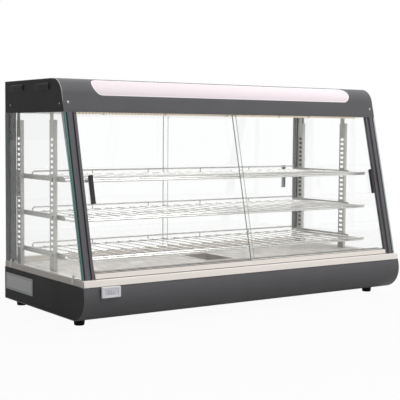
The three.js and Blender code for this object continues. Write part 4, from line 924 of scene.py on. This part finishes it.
@operator("tracks", "Door tracks")
def build_tracks():
    """Builds the four folded tracks, and the seals on the front sill."""
    tail = FRONT_BACKS[1] + PANE + 7
    wide = (POST_INNER - 0.5, reach("rear_lower_track")[1][0])

    def run(*places):
        return [[front(level, back), level] for level, back in places]

    paths = {
        "front_lower": grooved(front, FRONT_BACKS, TRACK_LAND, TRACK_FLOOR, run((SILL, 0), (TRACK_LAND, 0)),
                               run((TRACK_LAND, tail), (SILL, tail))),
        "front_upper": grooved(front, FRONT_BACKS, UPPER_LAND, UPPER_ROOF,
                               run((UPPER_ROOF, 1.8), (UPPER_LAND, 1.8)),
                               run((UPPER_LAND, tail), (UPPER_ROOF, tail))),
        "rear_lower": grooved(lambda level, y: y, REAR_BACKS, SILL + 12, SILL + 1.2),
        "rear_upper": grooved(lambda level, y: y, REAR_BACKS, UPPER_LAND, UPPER_ROOF)[:-1],
    }
    paths["rear_lower"][-2:, 0] = REAR - 1.2
    paths["rear_upper"][-1, 0] = REAR - 1.8
    for name, path in paths.items():
        rear = name.startswith("rear")
        sheet = (1.2 if rear else SHEET) * (-1 if name.endswith("upper") else 1)
        form = slab(Form(), folded(path, sheet, bpy.context.scene.case_shape.bend), -wide[rear], wide[rear],
                    "x", 0.2)
        piece(f"{name}_track_fold", form, ["steel"], f"{name}_track")
    # Black rubber strips: the first is the brush seal on top of the front wall, also painting the shade
    # there; the others paint shade at the foot and on the lands.
    top, foot = front(TRACK_LAND), front(SILL)
    strips = [[[top - 0.1, TRACK_LAND - 1.2], [top + 2.6, TRACK_LAND - 1.2], [top + 2.8, TRACK_LAND + 0.6],
               [top + 0.2, TRACK_LAND + 0.6]],
              [[foot - 0.8, SILL], [foot + 1.5, SILL], [foot + 1.5, SILL + 1.4], [foot - 0.5, SILL + 1.4]]]
    for back, depth in ((14.4, 10.2), (32.4, tail - 32.8)):
        land = front(TRACK_LAND, back)
        strips.append(box_outline(land, land + depth, TRACK_LAND - 0.1, TRACK_LAND + 0.7))
    form = Form()
    for strip in strips:
        slab(form, fillet(strip, 0.3, 2), -wide[0], wide[0], "x", 0.2)
    piece("front_track_seal", form, ["rubber"])


# Doors


def pull(form, centre, side, move):
    """A flared pull: rounded sections along its length, with a finger scoop taken out of its inward side."""
    up = np.array([25, 29, 32, 34, 35.6, 37.4, 39, 40, 40.7, PULL_HALF])
    up = np.concatenate([-up[::-1], up])
    end = np.clip(PULL_HALF - abs(up), 0, 2) / 2
    draw = 1.2 * (1 - np.sqrt(1 - (1 - end) ** 2))
    stand = 10.3 + 1.4 * np.clip((abs(up) - 34) / 3, 0, 1) - draw - np.where(abs(up) > 40.9, 0.4, 0)
    zeros = np.zeros(len(up))
    body = rings(np.stack([zeros - 6 + draw, zeros + 6 - draw, zeros, stand, up, zeros + 1.6], 1), 3, 9)
    x, out, z = body[..., 0], body[..., 1], body[..., 2]
    fade = np.clip((33 - abs(z)) / 5, 0, 1)
    hollow = np.sqrt(np.clip(18 - (out - 5.2) ** 2, 0, None)) * fade * fade * (3 - 2 * fade)
    x = np.where(x > 5.5, np.minimum(x, 6 - hollow), x) * side + centre[0]
    return loft(form, move(np.stack([x, centre[1] + out, z + centre[2]], -1)), wear=(1 - end) * 0.9)


def door(row, side, outline, low, high, grip, look, move=None):
    """A glass door and its pull, which both ride on the door's own body."""
    body = f"{row}_{side}_door"
    form = slab(Form(), outline, low, high, "y", 0.6, 1, 0, move, steps=1)
    piece(f"{row}_door_{side}_pane", form, ["glass", "pane edge"], f"{row}_door_{side}", body, 25,
          False)
    piece(f"{row}_pull_{side}_moulding", grip, [look], f"{row}_pull_{side}", body)


@operator("front_doors", "Front doors")
def build_front_doors():
    """Builds the leaning panes, each with its pull."""
    for side, sign, back, inset in (("left", -1, FRONT_BACKS[1], 31.3), ("right", 1, FRONT_BACKS[0], 12.5)):
        def on_pane(points, back=back):
            return sash(np.stack([points[..., 0], back - 0.3 - points[..., 1], points[..., 2]], -1))

        low, high = reach(f"front_door_{side}")
        foot, top = up_lean(TRACK_FLOOR + 0.3, back + PANE), up_lean(DOOR_TOP, back)
        grip = pull(Form(), (sign * (POST_INNER - inset), 0, up_lean(PULL_LEVEL, back)), -sign, on_pane)
        door("front", side, box_outline(low[0], high[0], foot, top, 1.0), back, back + PANE, grip,
             "black plastic", sash)


@operator("rear_doors", "Rear doors")
def build_rear_doors():
    """Builds the upright panes, each with its pull."""
    for side, sign in SIDES:
        low, high = reach(f"rear_door_{side}")
        x, _, z = middle(f"rear_pull_{side}")
        grip = pull(Form(), (x, reach(f"rear_pull_{side}")[0][1], z), -sign, lambda points: points)
        door("rear", side, box_outline(low[0], high[0], low[2], high[2], 1.0), low[1], high[1], grip,
             "grey plastic")


# Uprights, brackets and shelves


@operator("supports", "Uprights and brackets")
def build_supports():
    """Builds each upright as a slotted web with a front face, and finishes the brackets."""
    for side, _ in SIDES:
        for row in ("rear", "front"):
            low, high = reach(f"{row}_upright_{side}")
            centre, ahead, shoulder = (low[1] + high[1]) / 2, low[1] + SHEET, high[2] - 22
            web = fillet([[ahead, low[2]], [high[1], low[2]], [high[1], shoulder], [centre + 10, shoulder],
                          [centre + 10, high[2]], [centre - 10, high[2]], [centre - 10, shoulder],
                          [ahead, shoulder]], [0, 1, 1, 1, 0, 0, 1, 0], 3)
            slots = [box_outline(centre - 8.5, centre + 8.5, z - 4.2, z + 4.2, 2.6, 3)
                     for z in low[2] + 48 + SLOT_PITCH * np.arange(SLOT_COUNT)]
            face = fillet([[low[0], low[1]], [high[0], low[1]], [high[0], ahead], [low[0], ahead]],
                          [1.3, 0.3, 0.3, 0], 4)
            form = pierced(Form(), web, slots, low[0], low[0] + SHEET)
            # The front face takes the brighter copy of the steel: painted light.
            slab(form, face, low[2], shoulder, "z", 0.2, 1)
            piece(f"{row}_upright_{side}_rail", form, ["upright", "rail face"], f"{row}_upright_{side}",
                  level=False)
        for tier in TIERS:
            dress(f"bracket_{tier}_{side}", "bracket")


@operator("shelves", "Wire shelves")
def build_shelves():
    """Builds the shelves: frame, front and middle rails, raised rear guard and deck wires."""
    sides = bpy.context.scene.case_shape.wire_sides
    for tier in TIERS:
        low, high = reach(f"shelf_{tier}")
        rear, ahead, tip, side = high[1] - 3, low[1] + 3, high[0] - 3, high[0] - 13
        level, guard = low[2] + 3, low[2] + 18.7
        shoulder = reach(f"bracket_{tier}_right")[0][1] - 4
        rail = side - 18
        half = np.array([[side, rear], [side, shoulder], [tip, shoulder - 12], [tip, ahead]])
        loop = fillet(np.concatenate([half, half[::-1] * [-1, 1]]), [18, 9, 9, 18, 18, 9, 9, 18], 6)
        form = tube(Form(), lifted(loop, level), 3, (0, 0, 1), sides + 2, True)
        for y, z, x, radius in ((ahead, level + 5.4, tip - 9, 2.5),
                                (ahead + (rear - ahead) * MIDDLE_SHARE, level + 0.5, side, 2.4)):
            tube(form, [[-x, y, z], [0, y, z], [x, y, z]], radius, (0, 0, 1), sides, domed=True)
        run = fillet([[-rail + 5, level + 3], [-rail + 5, guard], [rail - 5, guard], [rail - 5, level + 3]],
                     8, 5, False)
        tube(form, lifted(run, rear)[:, [0, 2, 1]], 2.5, (0, 1, 0), sides)
        for x in np.linspace(-rail, rail, 6)[1:-1]:
            tube(form, [[x, rear, level], [x, rear, level + 8], [x, rear, guard]], 2, (0, 1, 0), 8)
        wire = fillet([[ahead - 0.6, level + 1.5], [ahead + 0.4, level + 5.3], [rear - 0.8, level + 3.8],
                       [rear + 0.4, level + 1]], 2.4, 3, False)
        for x in np.linspace(-rail, rail, DECK_WIRES):
            tube(form, at_x(x, wire), 2, (1, 0, 0), 8)
        piece(f"shelf_{tier}_wires", form, ["wire"], f"shelf_{tier}", level=False)


# Hood


def hood_path():
    """Fine outline of the hood skin in depth and height, from the front foot over the nose to the rear."""
    level = HOOD_TOP - NOSE
    centre = front(level, NOSE)
    head = fillet([[centre, HOOD_TOP], [REAR, HOOD_TOP], [REAR, HEAD]], [0, 2.2, 0], 6, False)
    nose = arc(centre, level, NOSE, 180 - math.degrees(LEAN), 90, NOSE_STEPS)
    return np.concatenate([[[front(HEAD), HEAD]], nose, head[1:]])


SKIN = hood_path()
ALONG = np.concatenate([[0], np.cumsum(np.linalg.norm(np.diff(SKIN, axis=0), axis=1))])
NOSE_END = NOSE_STEPS + 1


def window_rows(grow=0.0, steps=26):
    """Rows of the window, by the angle of its half-round ends: distance along the skin and half length."""
    chord = math.pi / 4 - LEAN / 2
    low = HOOD_TOP - NOSE + WINDOW_RISE
    height = (SKIN - [front(low), low]) @ np.array([math.cos(chord), math.sin(chord)])
    turn = np.linspace(0, math.pi, steps + 1)
    want = WINDOW_RADIUS - (WINDOW_RADIUS + grow) * np.cos(turn)
    half = HALF - WINDOW_INSET - WINDOW_RADIUS + (WINDOW_RADIUS + grow) * np.sin(turn)
    return np.interp(want, height[:NOSE_END + 4], ALONG[:NOSE_END + 4]), half


def on_skin(distance, inset=0.0):
    """Depth and height at a distance along the hood skin, moved inwards along its normal."""
    behind, point, ahead = (np.stack([np.interp(distance + step, ALONG, SKIN[:, k]) for k in (0, 1)], -1)
                            for step in (-0.05, 0, 0.05))
    way = unit(ahead - behind)
    return point + np.stack([way[..., 1], -way[..., 0]], -1) * inset


def swept(x, flat):
    """A grid from rows of X, each at its own depth and height."""
    return np.stack([x, np.broadcast_to(flat[:, :1], x.shape), np.broadcast_to(flat[:, 1:], x.shape)], -1)


def build_hood_skin():
    """The hood skin as a grid along the nose, left open where the window sits."""
    distance, half = window_rows()
    nose_end, total = ALONG[NOSE_END], ALONG[-1]
    rows = np.concatenate([np.linspace(0, distance[0], 6)[:-1], distance,
                           np.linspace(distance[-1], nose_end, 9)[1:], [nose_end + 40, total - 100],
                           ALONG[NOSE_END + 1:-1], [total - 60, total]])
    rows = np.unique(np.round(rows, 6))
    first = np.searchsorted(rows, distance[0] - 1e-5)
    last = first + len(distance) - 1
    ends = np.full(len(rows), half[0])
    ends[first:last + 1] = half
    edge = HOOD_HALF - 0.35
    lead = np.array([0, 0.004, 0.03, 0.2, 0.4, 0.6, 0.8, 0.93, 1.0])
    outer = -edge + (edge - ends[:, None]) * lead[None]
    centre = ends[:, None] * np.linspace(-1, 1, 41)[None, 1:-1]
    x = np.concatenate([outer, centre, -outer[:, ::-1]], 1)
    columns = x.shape[1]
    faces = grid_faces(len(rows), columns)
    row, column = faces[:, 0] // columns, faces[:, 0] % columns
    inside = (row >= first) & (row < last) & (column >= len(lead) - 1) & (column < columns - len(lead))
    wear = np.zeros(x.shape)
    wear[:, [0, 1, -2, -1]] = 0.6
    wear[0] = 0.7
    form = Form()
    form.add(swept(x, on_skin(rows)), faces[~inside][:, ::-1], 0, wear.ravel())
    piece("hood_skin", form, ["coat"], "hood_shell", shell=SHEET)


def louvre(form, sign, rear):
    """A louvre: its swell times a flattened dome stands out, and its mouth is dark."""
    rise = bpy.context.scene.case_shape.louvre_rise
    u = np.linspace(0, 1, 25)[:, None]
    v = np.linspace(-1, 1, 17)[None, :]
    swell = np.sqrt(1 - np.clip((0.36 - u) / 0.36, 0, 1) ** 2)
    dome = np.sin(math.pi / 2 * np.clip(u / 0.5, 0, 1)) * np.sqrt(np.clip(1 - abs(v) ** 3, 0, 1))
    level = HOOD_TOP - 12 - LOUVRE_HIGH / 2
    y = rear - LOUVRE_LONG * u + 0 * v
    z = level + LOUVRE_HIGH / 2 * v * swell
    # The wall at the open end and the mouth sheet below take finish 1: painted shade in the opening.
    thick(form, np.stack([sign * (HOOD_HALF - 0.5 + (rise + 0.5) * dome), y, z], -1),
          np.stack([sign * (HOOD_HALF - 0.8) + 0 * z, y, z], -1), (0, 1, 0, 0))
    out = sign * (HOOD_HALF + dome[-1] * (rise - 0.9))
    mouth = np.stack([out, y[-1] - 0.06, z[-1] * 0.9 + level * 0.1], -1)
    form.add(mouth, np.arange(len(mouth) - 1)[None], 1)


@operator("hood", "Hood")
def build_hood():
    """Builds the hood skin, its ends with their beads, the louvres and the screws."""
    build_hood_skin()
    outline = on_skin(np.concatenate([[0], ALONG[1:NOSE_END + 1:8], ALONG[NOSE_END + 1:]]), 1.6)
    outline[0] = [front(HEAD, 1.7), HEAD + 0.3]
    outline[-1, 1] = HEAD + 0.3
    bead = on_skin(np.linspace(24, ALONG[NOSE_END] + 6, 60), 0.9)
    bead[:, 1] = np.minimum(bead[:, 1], HOOD_TOP - 1.75)
    spot = on_skin(np.array([np.interp(627, SKIN[:80, 1], ALONG[:80])]))[0]
    head = np.array([[0, -2.2], [1.4, -2.1], [3.0, -1.5], [4.0, -0.4], [4.1, 0.6], [0, 0.6]])
    louvres, screws = Form(), Form()
    for side, sign in SIDES:
        # The hood ends and the louvres take the darker side coat: painted shade.
        form = slab(Form(), outline, *span(sign, HOOD_HALF - 1.9, HOOD_HALF - 0.4), "x", 0.25, fade=1.2)
        # The bead along the edge takes the light rim metal: a real bead with a painted highlight.
        tube(form, at_x(sign * (HOOD_HALF - 0.9), bead), np.linspace(0.9, 1.7, 60), (1, 0, 0), 10, finish=1,
             domed=True)
        piece(f"hood_end_{side}", form, ["side coat", "rim metal"])
        for k in (0, 1):
            louvre(louvres, sign, REAR - REAR_POST_DEEP - LOUVRE_PITCH * k)
        turned(screws, head, (0, 0, 0), "y", 24)
        x, y, z = screws.points[-1].T
        out, up = y * math.cos(LEAN) + z * math.sin(LEAN), z * math.cos(LEAN) - y * math.sin(LEAN)
        screws.points[-1] = np.stack([x + sign * (HALF - 20), out + spot[0], up + spot[1]], 1)
        for y, z, r in ((front(623) + 22, 623, 2.4), (front(612) + 15, 609, 1.6), (REAR - 38, 623, 2.4)):
            turned(screws, np.array([[0, 1.3], [0.6 * r, 1.1], [r, 0.3], [r, -0.6], [0, -0.6]]) * [1, sign],
                   (sign * (HOOD_HALF - 0.2), y, z), "x", 16, 1 if r < 2 else 0)
        for z in (HEAD + 20, HOOD_TOP - 22):
            turned(screws, [[0, 0], [2.4, 0], [2.4, 0.2], [0, 0.2]], (sign * 570, REAR, z), "y", 14)
    piece("hood_louvres", louvres, ["side coat", "dark"])
    piece("hood_screws", screws, ["wire", "dark"], level=False)
    dress("hood_ceiling", "liner")


@operator("window", "Light window")
def build_window():
    """Builds the curved lamp cover, and the lip that runs round it."""
    distance, half = window_rows(-0.7)
    x = half[:, None] * np.linspace(-1, 1, 61)[None]
    form = thick(Form(), swept(x, on_skin(distance, 0.9)), swept(x, on_skin(distance, 4.1)))
    distance, half = window_rows(-1.1, 40)
    bottom = np.linspace(-half[0], half[0], 12)[1:-1]
    x = np.concatenate([half, bottom[::-1], -half[::-1], bottom])
    where = np.concatenate([distance, np.full(10, distance[-1]), distance[::-1], np.full(10, distance[0])])
    side = at_x(0, unit(on_skin(where, -1) - on_skin(where, 1)))
    # The lip round the window glows: painted highlight.
    tube(form, np.column_stack([x, on_skin(where, 1.3)]), 1.25, side, 8, True, 1)
    piece("light_window_cover", form, ["window", "window lip"], "light_window")


@operator("lamps", "Lamps")
def build_lamps():
    """Builds the lamp tube with its end caps, and the light strip with its clips and points."""
    low, high = reach("lamp_tube")
    _, y, z = middle("lamp_tube")
    form = tube(Form(), [[low[0] + 14, y, z], [0, y, z], [high[0] - 14, y, z]], 7.6, (0, 0, 1), 24)
    cap = fillet([[0, 0], [7.9, 0], [7.9, -15], [0, -15]], [0, 1, 0.4, 0], 3, False)
    for _, sign in SIDES:
        turned(form, cap * [1, sign], (sign * high[0], y, z), "x", 24, 1)
    piece("lamp_tube_glass", form, ["lamp", "wire"], "lamp_tube")
    low, high = reach("led_strip")
    rear, ahead, top, floor = high[1] - 0.8, low[1] + 0.8, high[2], low[2] + 0.8

    def trough(out, chamfer, radius):
        a, b, c = ahead - out, rear + out, floor - out
        corners = [[a, top], [a, c + chamfer], [a + chamfer, c], [b - chamfer, c], [b, c + chamfer], [b, top]]
        return fillet(corners, [0.2, radius, radius, radius, radius, 0.2], 2)

    # The strip's body takes the glowing strip finish: painted light.
    form = slab(Form(), trough(0, 1.5, 0.8), low[0], high[0], "x", 0.3)
    for x in np.array([-0.82, -0.43, -0.01, 0.38, 0.61]) * high[0]:
        slab(form, trough(0.8, 1.8, 1), x - 3, x + 3, "x", 0.3, 2)
    turn = np.linspace(0, 2 * math.pi, 8, endpoint=False)
    ring = np.array([[1.0, 0], [0.75, 0.55], [0.0, 0.8]])
    for x in np.linspace(-high[0] + 8, high[0] - 8, bpy.context.scene.case_shape.led_count):
        points = np.stack([x + 2.6 * ring[:, :1] * np.cos(turn), ahead + 0.1 - ring[:, 1:] + 0 * turn,
                           (top + floor) / 2 + 0.3 + 1.9 * ring[:, :1] * np.sin(turn)], -1)
        form.add(points, grid_faces(3, 8, False, True), 1)
    piece("led_strip_bar", form, ["strip", "points", "wire"], "led_strip")


# Thermometer and controls


SEGMENTS = {"0": "abcdef", "6": "acdefg", "5": "acdfg"}


def digit(form, text, x, z, size, face):
    """Seven-bar digits: each lit bar is a thin slab in its place."""
    wide, tall, bar = size * 0.5, size, size * 0.12
    bars = {"a": (0, tall / 2, wide, bar), "g": (0, 0, wide, bar), "d": (0, -tall / 2, wide, bar),
            "f": (-wide / 2, tall / 4, bar, tall / 2), "b": (wide / 2, tall / 4, bar, tall / 2),
            "e": (-wide / 2, -tall / 4, bar, tall / 2), "c": (wide / 2, -tall / 4, bar, tall / 2)}
    for key in SEGMENTS[text]:
        dx, dz, w, h = bars[key]
        slab(form, box_outline(x + dx - w / 2, x + dx + w / 2, z + dz - h / 2, z + dz + h / 2),
             face + 1.02, face + 1.3, "y", 0.02, 1)


@operator("thermometer", "Thermometer")
def build_thermometer():
    """Builds a stepped bezel round a display with raised digits."""
    cx, _, cz = middle("thermometer_case")
    face = reach("thermometer_case")[0][1]
    levels = nested((cx, cz), [
        [22, 9, face + 2.2, 0.8], [22, 9, face + 1.0, 0.8], [22.4, 9.4, face + 0.5, 1.2],
        [23.2, 10.2, face + 0.3, 1.8], [27.8, 13.3, face, 2.2], [29.2, 14.7, face + 0.4, 3],
        [30, 15.5, face + 1.5, 3.4], [30, 15.5, FRONT - 1.6, 3.4], [29.8, 15.3, FRONT - 0.3, 3.4],
        [27, 12.5, FRONT - 0.3, 2], [27, 12.5, FRONT + 26, 2]])
    wear = np.zeros(len(levels))
    wear[4:7] = 1
    form = loft(Form(), rings(levels, 5)[..., ORDER["y"]], wear=wear)
    piece("thermometer_bezel", form, ["white plastic"], "thermometer_case")
    form = slab(Form(), box_outline(cx - 22, cx + 22, cz - 9, cz + 9, 0.6), face + 1.1, face + 2.1, "y", 0.1)
    for text, x, z, size in (("6", -9, -0.5, 9.5), ("5", -1, -0.5, 9.5), ("0", 8, -2.2, 6)):
        digit(form, text, cx + x, cz + z, size, face)
    slab(form, box_outline(cx + 3.2, cx + 4.2, cz - 5.6, cz - 4.6), face + 1.02, face + 1.3, "y", 0.02, 1)
    piece("thermometer_display", form, ["display", "segments"], "thermometer_screen")


def build_knob():
    """The ribbed thermostat knob with its grip bar, and the ticks round it."""
    low, high = reach("thermostat_knob")
    cx, _, cz = middle("thermostat_knob")
    back = low[1]
    profile = fillet([[3.3, 0.2], [18.4, 0.2], [19, 0.8], [19, 3], [15.6, 4.6], [13.6, 14.6], [0, 15.2]],
                     [0, 0.3, 0.3, 0.8, 1.4, 1.2, 0], 4, False)
    form = turned(Form(), profile, (cx, back, cz), "y", 64)
    turned(form, [[3.3, 0.2], [3.3, 9], [0, 9]], (cx, back, cz), "y", 32)
    slab(form, box_outline(cx - 2.4, cx + 2.4, cz - 13, cz + 13, 1.6), back + 10, high[1], "y", 0.8)
    slab(form, box_outline(cx - 0.6, cx + 0.6, cz + 4, cz + 12.6, 0.4), high[1] - 0.4, high[1] - 0.02, "y",
         0.02, 1)
    rib = np.array([[14.6, -0.5], [15.5, -0.35], [15.5, 0.35], [14.6, 0.5]])
    for a in np.linspace(0, 2 * math.pi, 30, endpoint=False):
        spin = np.array([[math.cos(a), math.sin(a)], [-math.sin(a), math.cos(a)]])
        slab(form, rib @ spin + [cx, cz], back + 4.6, back + 10.5, "y", 0.2, steps=1)
    piece("thermostat_knob_moulding", form, ["black plastic", "marks"], "thermostat_knob",
          "thermostat_knob")
    form = Form()
    for k, a in enumerate(np.radians(np.linspace(-135, 135, 10))):
        tick = box_outline(21, 25.2 if k % 3 == 0 else 23.6, -0.35, 0.35)
        spin = np.array([[math.sin(a), math.cos(a)], [math.cos(a), -math.sin(a)]])
        slab(form, tick @ spin + [cx, cz], REAR - 0.05, REAR + 0.12, "y", 0.03, steps=1)
    piece("dial_ticks", form, ["marks"])


def build_switch(name):
    """A switch: its stepped housing, and a rocker that rests tilted, with its two marks."""
    low, high = reach(f"{name}_switch_body")
    x, _, z = middle(f"{name}_switch_body")
    top, tilt = high[1], math.radians(8)

    def tilted(points):
        out, up = points[..., 1] - 1.5, points[..., 2]
        return np.stack([points[..., 0] + x, top - 1.5 + out * math.cos(tilt) - up * math.sin(tilt),
                         z + out * math.sin(tilt) + up * math.cos(tilt)], -1)

    levels = nested((x, z), [
        [11.5, 7.5, top - 11, 0.8], [11.5, 7.5, top - 0.5, 0.8], [12, 8, top, 1.2], [14, 10, top, 1.8],
        [14.8, 10.8, top - 0.5, 2], [15, 11, REAR + 0.1, 2], [13, 9, REAR + 0.1, 1], [13, 9, low[1], 1]])
    form = loft(Form(), rings(levels, 4)[..., ORDER["y"]], wear=[0, 0.4, 1, 0.4, 1, 0.4, 0, 0])
    piece(f"{name}_switch_housing", form, ["black plastic"], f"{name}_switch_body")
    curve = np.linspace(-6.2, 6.2, 13)
    crown = np.column_stack([1.5 + 1.4 * (curve / 6.2) ** 2 - 0.3, curve])
    outline = np.concatenate([[[-6, -3.1], [0, -6.3]], crown, [[0, 6.3], [-6, 3.1]]])
    form = slab(Form(), outline, -11.1, 11.1, "x", 0.5, move=tilted)
    slab(form, box_outline(1.55, 2.0, -4.6, -2.4), -0.35, 0.35, "x", 0.05, 1, move=tilted)
    ring = np.linspace(0, 2 * math.pi, 17)[:-1]
    ring = np.column_stack([1.3 * np.cos(ring), np.full(16, 2.02), 3.6 + 1.3 * np.sin(ring)])
    tube(form, tilted(ring), 0.22, (0, 1, 0), 5, True, 1)
    piece(f"{name}_rocker_moulding", form, ["black plastic", "marks"], f"{name}_switch_rocker",
          f"{name}_rocker")


@operator("controls", "Controls")
def build_controls():
    """Builds what stands on the rear panel: knob, switches, pilot lamp, gland and screws."""
    build_knob()
    build_switch("light")
    build_switch("heat")
    x, _, z = middle("pilot_lamp")
    body = fillet([[0, -24], [4.6, -24], [4.6, 0.2], [7, 0.2], [7, 1.4], [6.4, 2], [5.2, 2]],
                  [0, 0.3, 0, 0.2, 0.5, 0.3, 0], 3, False)
    dome = np.radians(np.linspace(0, 90, 9))
    form = turned(Form(), body, (x, REAR, z), "y", 36)
    turned(form, np.column_stack([5.2 * np.cos(dome), 1.8 + 4.2 * np.sin(dome)]), (x, REAR, z), "y", 36, 1)
    piece("pilot_lamp_lens", form, ["wire", "amber"], "pilot_lamp")
    x, _, z = middle("cable_gland")
    a = np.radians(np.arange(6) * 60 + 30)
    form = slab(Form(), fillet(np.column_stack([x + 12.8 * np.cos(a), z + 12.8 * np.sin(a)]), 1, 3),
                REAR + 0.3, REAR + 5, "y", 0.6)
    section = fillet([[4.2, -12], [8, -12], [8, 0.3], [9.6, 4.6], [9.6, 8], [7.2, 17.6], [4.6, 18],
                      [4.2, 17]], [0, 0.4, 0, 0.4, 1.2, 1.2, 0.4, 0.2], 3)
    turned(form, np.vstack([section, section[:1]]), (x, REAR, z), "y", 40)
    piece("cable_gland_moulding", form, ["black plastic"], "cable_gland")
    form = Form()
    for x in (-585, -220, 110, 440, 585):
        for z in (BASE_LOW + 8, BASE_TOP - 8):
            turned(form, [[0, 1.5], [1.6, 1.4], [3.1, 0.7], [3.3, 0.05], [3.3, -0.5]], (x, REAR, z), "y", 20)
    piece("rear_screws", form, ["wire"], level=False)


# Studio

FLOOR_HALF = 40.0


def build_floor():
    """A pale floor that shows white to the camera and only a share of it to reflections."""
    mesh = bpy.data.meshes.new("studio_floor")
    corners = box_outline(-FLOOR_HALF, FLOOR_HALF, -FLOOR_HALF, FLOOR_HALF)
    mesh.from_pydata(lifted(corners, 0).tolist(), [], [(0, 1, 2, 3)])
    floor = bpy.data.objects.new("studio_floor", mesh)
    bpy.context.scene.collection.objects.link(floor)
    material, tree, shader = new_material("pale floor")
    shader.inputs["Base Color"].default_value = (0.42, 0.42, 0.42, 1)
    shader.inputs["Roughness"].default_value = 0.9
    rays = node(tree, "LightPath").outputs
    seen = sum_of(tree, rays["Is Camera Ray"], product(tree, rays["Is Glossy Ray"], 0.12))
    seen = spread(tree, sum_of(tree, seen, rays["Is Transmission Ray"]), 0, 1)
    away = node(tree, "VectorMath", {0: own_place(tree)}, operation="LENGTH").outputs["Value"]
    white = node(tree, "Emission", {"Color": (1, 1, 1, 1), "Strength": 1.0})
    blend(tree, product(tree, seen, spread(tree, away, 0.8, 2.6, 0.95, 1.0)), white)
    mesh.materials.append(material)


def build_world():
    """A white surround for the camera, and a grey one that lights from the right and above."""
    world = bpy.data.worlds.new("studio")
    bpy.context.scene.world = world
    world.use_nodes = True
    tree = world.node_tree
    way = node(tree, "SeparateXYZ", {0: node(tree, "TexCoord").outputs["Generated"]}).outputs
    side = spread(tree, way["X"], -0.45, 0.45, 0.05, 0.9)
    high = spread(tree, way["Z"], 0.0, 0.9, 0.0, 0.55)
    soft = product(tree, sum_of(tree, side, high), 0.62)
    light = node(tree, "CombineColor", {0: soft, 1: soft, 2: soft}).outputs[0]
    rays = node(tree, "LightPath").outputs
    glossy = product(tree, rays["Is Glossy Ray"], spread(tree, way["Z"], 0.05, 0.75, 0.1, 1.0))
    seen = sum_of(tree, sum_of(tree, rays["Is Camera Ray"], rays["Is Transmission Ray"]), glossy)
    colour = mixed(tree, spread(tree, seen, 0, 1), light, (1, 1, 1, 1))
    tree.links.new(colour, tree.nodes["Background"].inputs["Color"])


LAMPS = (
    ("key", (1.2, -2.2, 3.5), (0, -0.1, 0.35), 2.2, 92),
    ("top", (0.4, -0.4, 3.4), (0, 0, 0.5), 2.6, 20),
    ("rear fill", (1.5, 3.2, 1.8), (0, 0.2, 0.4), 2.4, 30),
)
YAW, PITCH, ROLL = math.radians(34.77), math.radians(4.06), math.radians(0.447)
CAMERA_PLACE, CAMERA_LENS = (-1.8747, -2.64845, 0.555), 90.06


def build_camera():
    """The camera: yaw and pitch give the way ahead, and the roll turns right and up about it."""
    ahead = np.array([math.sin(YAW) * math.cos(PITCH), math.cos(YAW) * math.cos(PITCH), -math.sin(PITCH)])
    flat = np.array([math.cos(YAW), -math.sin(YAW), 0])
    rise = np.cross(flat, ahead)
    matrix = np.eye(4)
    matrix[:3, 0] = math.cos(ROLL) * flat + math.sin(ROLL) * rise
    matrix[:3, 1] = -math.sin(ROLL) * flat + math.cos(ROLL) * rise
    matrix[:3, 2] = -ahead
    matrix[:3, 3] = CAMERA_PLACE
    data = bpy.data.cameras.new("camera")
    data.lens, data.sensor_width, data.clip_end = CAMERA_LENS, 36.0, 200.0
    camera = bpy.data.objects.new("camera", data)
    bpy.context.scene.collection.objects.link(camera)
    camera.matrix_world = Matrix(matrix.tolist())
    bpy.context.scene.camera = camera
    bpy.context.scene.view_settings.view_transform = "Standard"


@operator("stage", "Studio")
def build_stage():
    """Builds the floor, the surround, three lamps and the camera."""
    build_floor()
    build_world()
    for name, place, aim, size, power in LAMPS:
        data = bpy.data.lights.new(name, "AREA")
        data.shape, data.size, data.energy = "DISK", size, power
        lamp = bpy.data.objects.new(name, data)
        bpy.context.scene.collection.objects.link(lamp)
        lamp.location = place
        lamp.visible_glossy = False
        way = Vector(aim) - Vector(place)
        lamp.rotation_euler = way.to_track_quat("-Z", "Y").to_euler()
    build_camera()


# Panel and registration


class CASE_PT_panel(bpy.types.Panel):
    """Lists the sizes, the colours and the builders of the display case."""

    bl_idname = "CASE_PT_panel"
    bl_label = "Display Case"
    bl_space_type = "VIEW_3D"
    bl_region_type = "UI"
    bl_category = "Display Case"

    def draw(self, context):
        for settings in (context.scene.case_shape, context.scene.case_colours):
            box = self.layout.box()
            for key in type(settings).__annotations__:
                box.prop(settings, key)
        for kind in OPERATORS:
            self.layout.operator(kind.bl_idname)


def register():
    for kind in (CaseShape, CaseColours, *OPERATORS, CASE_PT_panel):
        bpy.utils.register_class(kind)
    bpy.types.Scene.case_shape = bpy.props.PointerProperty(type=CaseShape)
    bpy.types.Scene.case_colours = bpy.props.PointerProperty(type=CaseColours)


def unregister():
    del bpy.types.Scene.case_colours
    del bpy.types.Scene.case_shape
    for kind in (CASE_PT_panel, *reversed(OPERATORS), CaseColours, CaseShape):
        bpy.utils.unregister_class(kind)


def main():
    register()
    for kind in OPERATORS:
        space, name = kind.bl_idname.split(".")
        getattr(getattr(bpy.ops, space), name)()


if __name__ == "__main__":
    main()
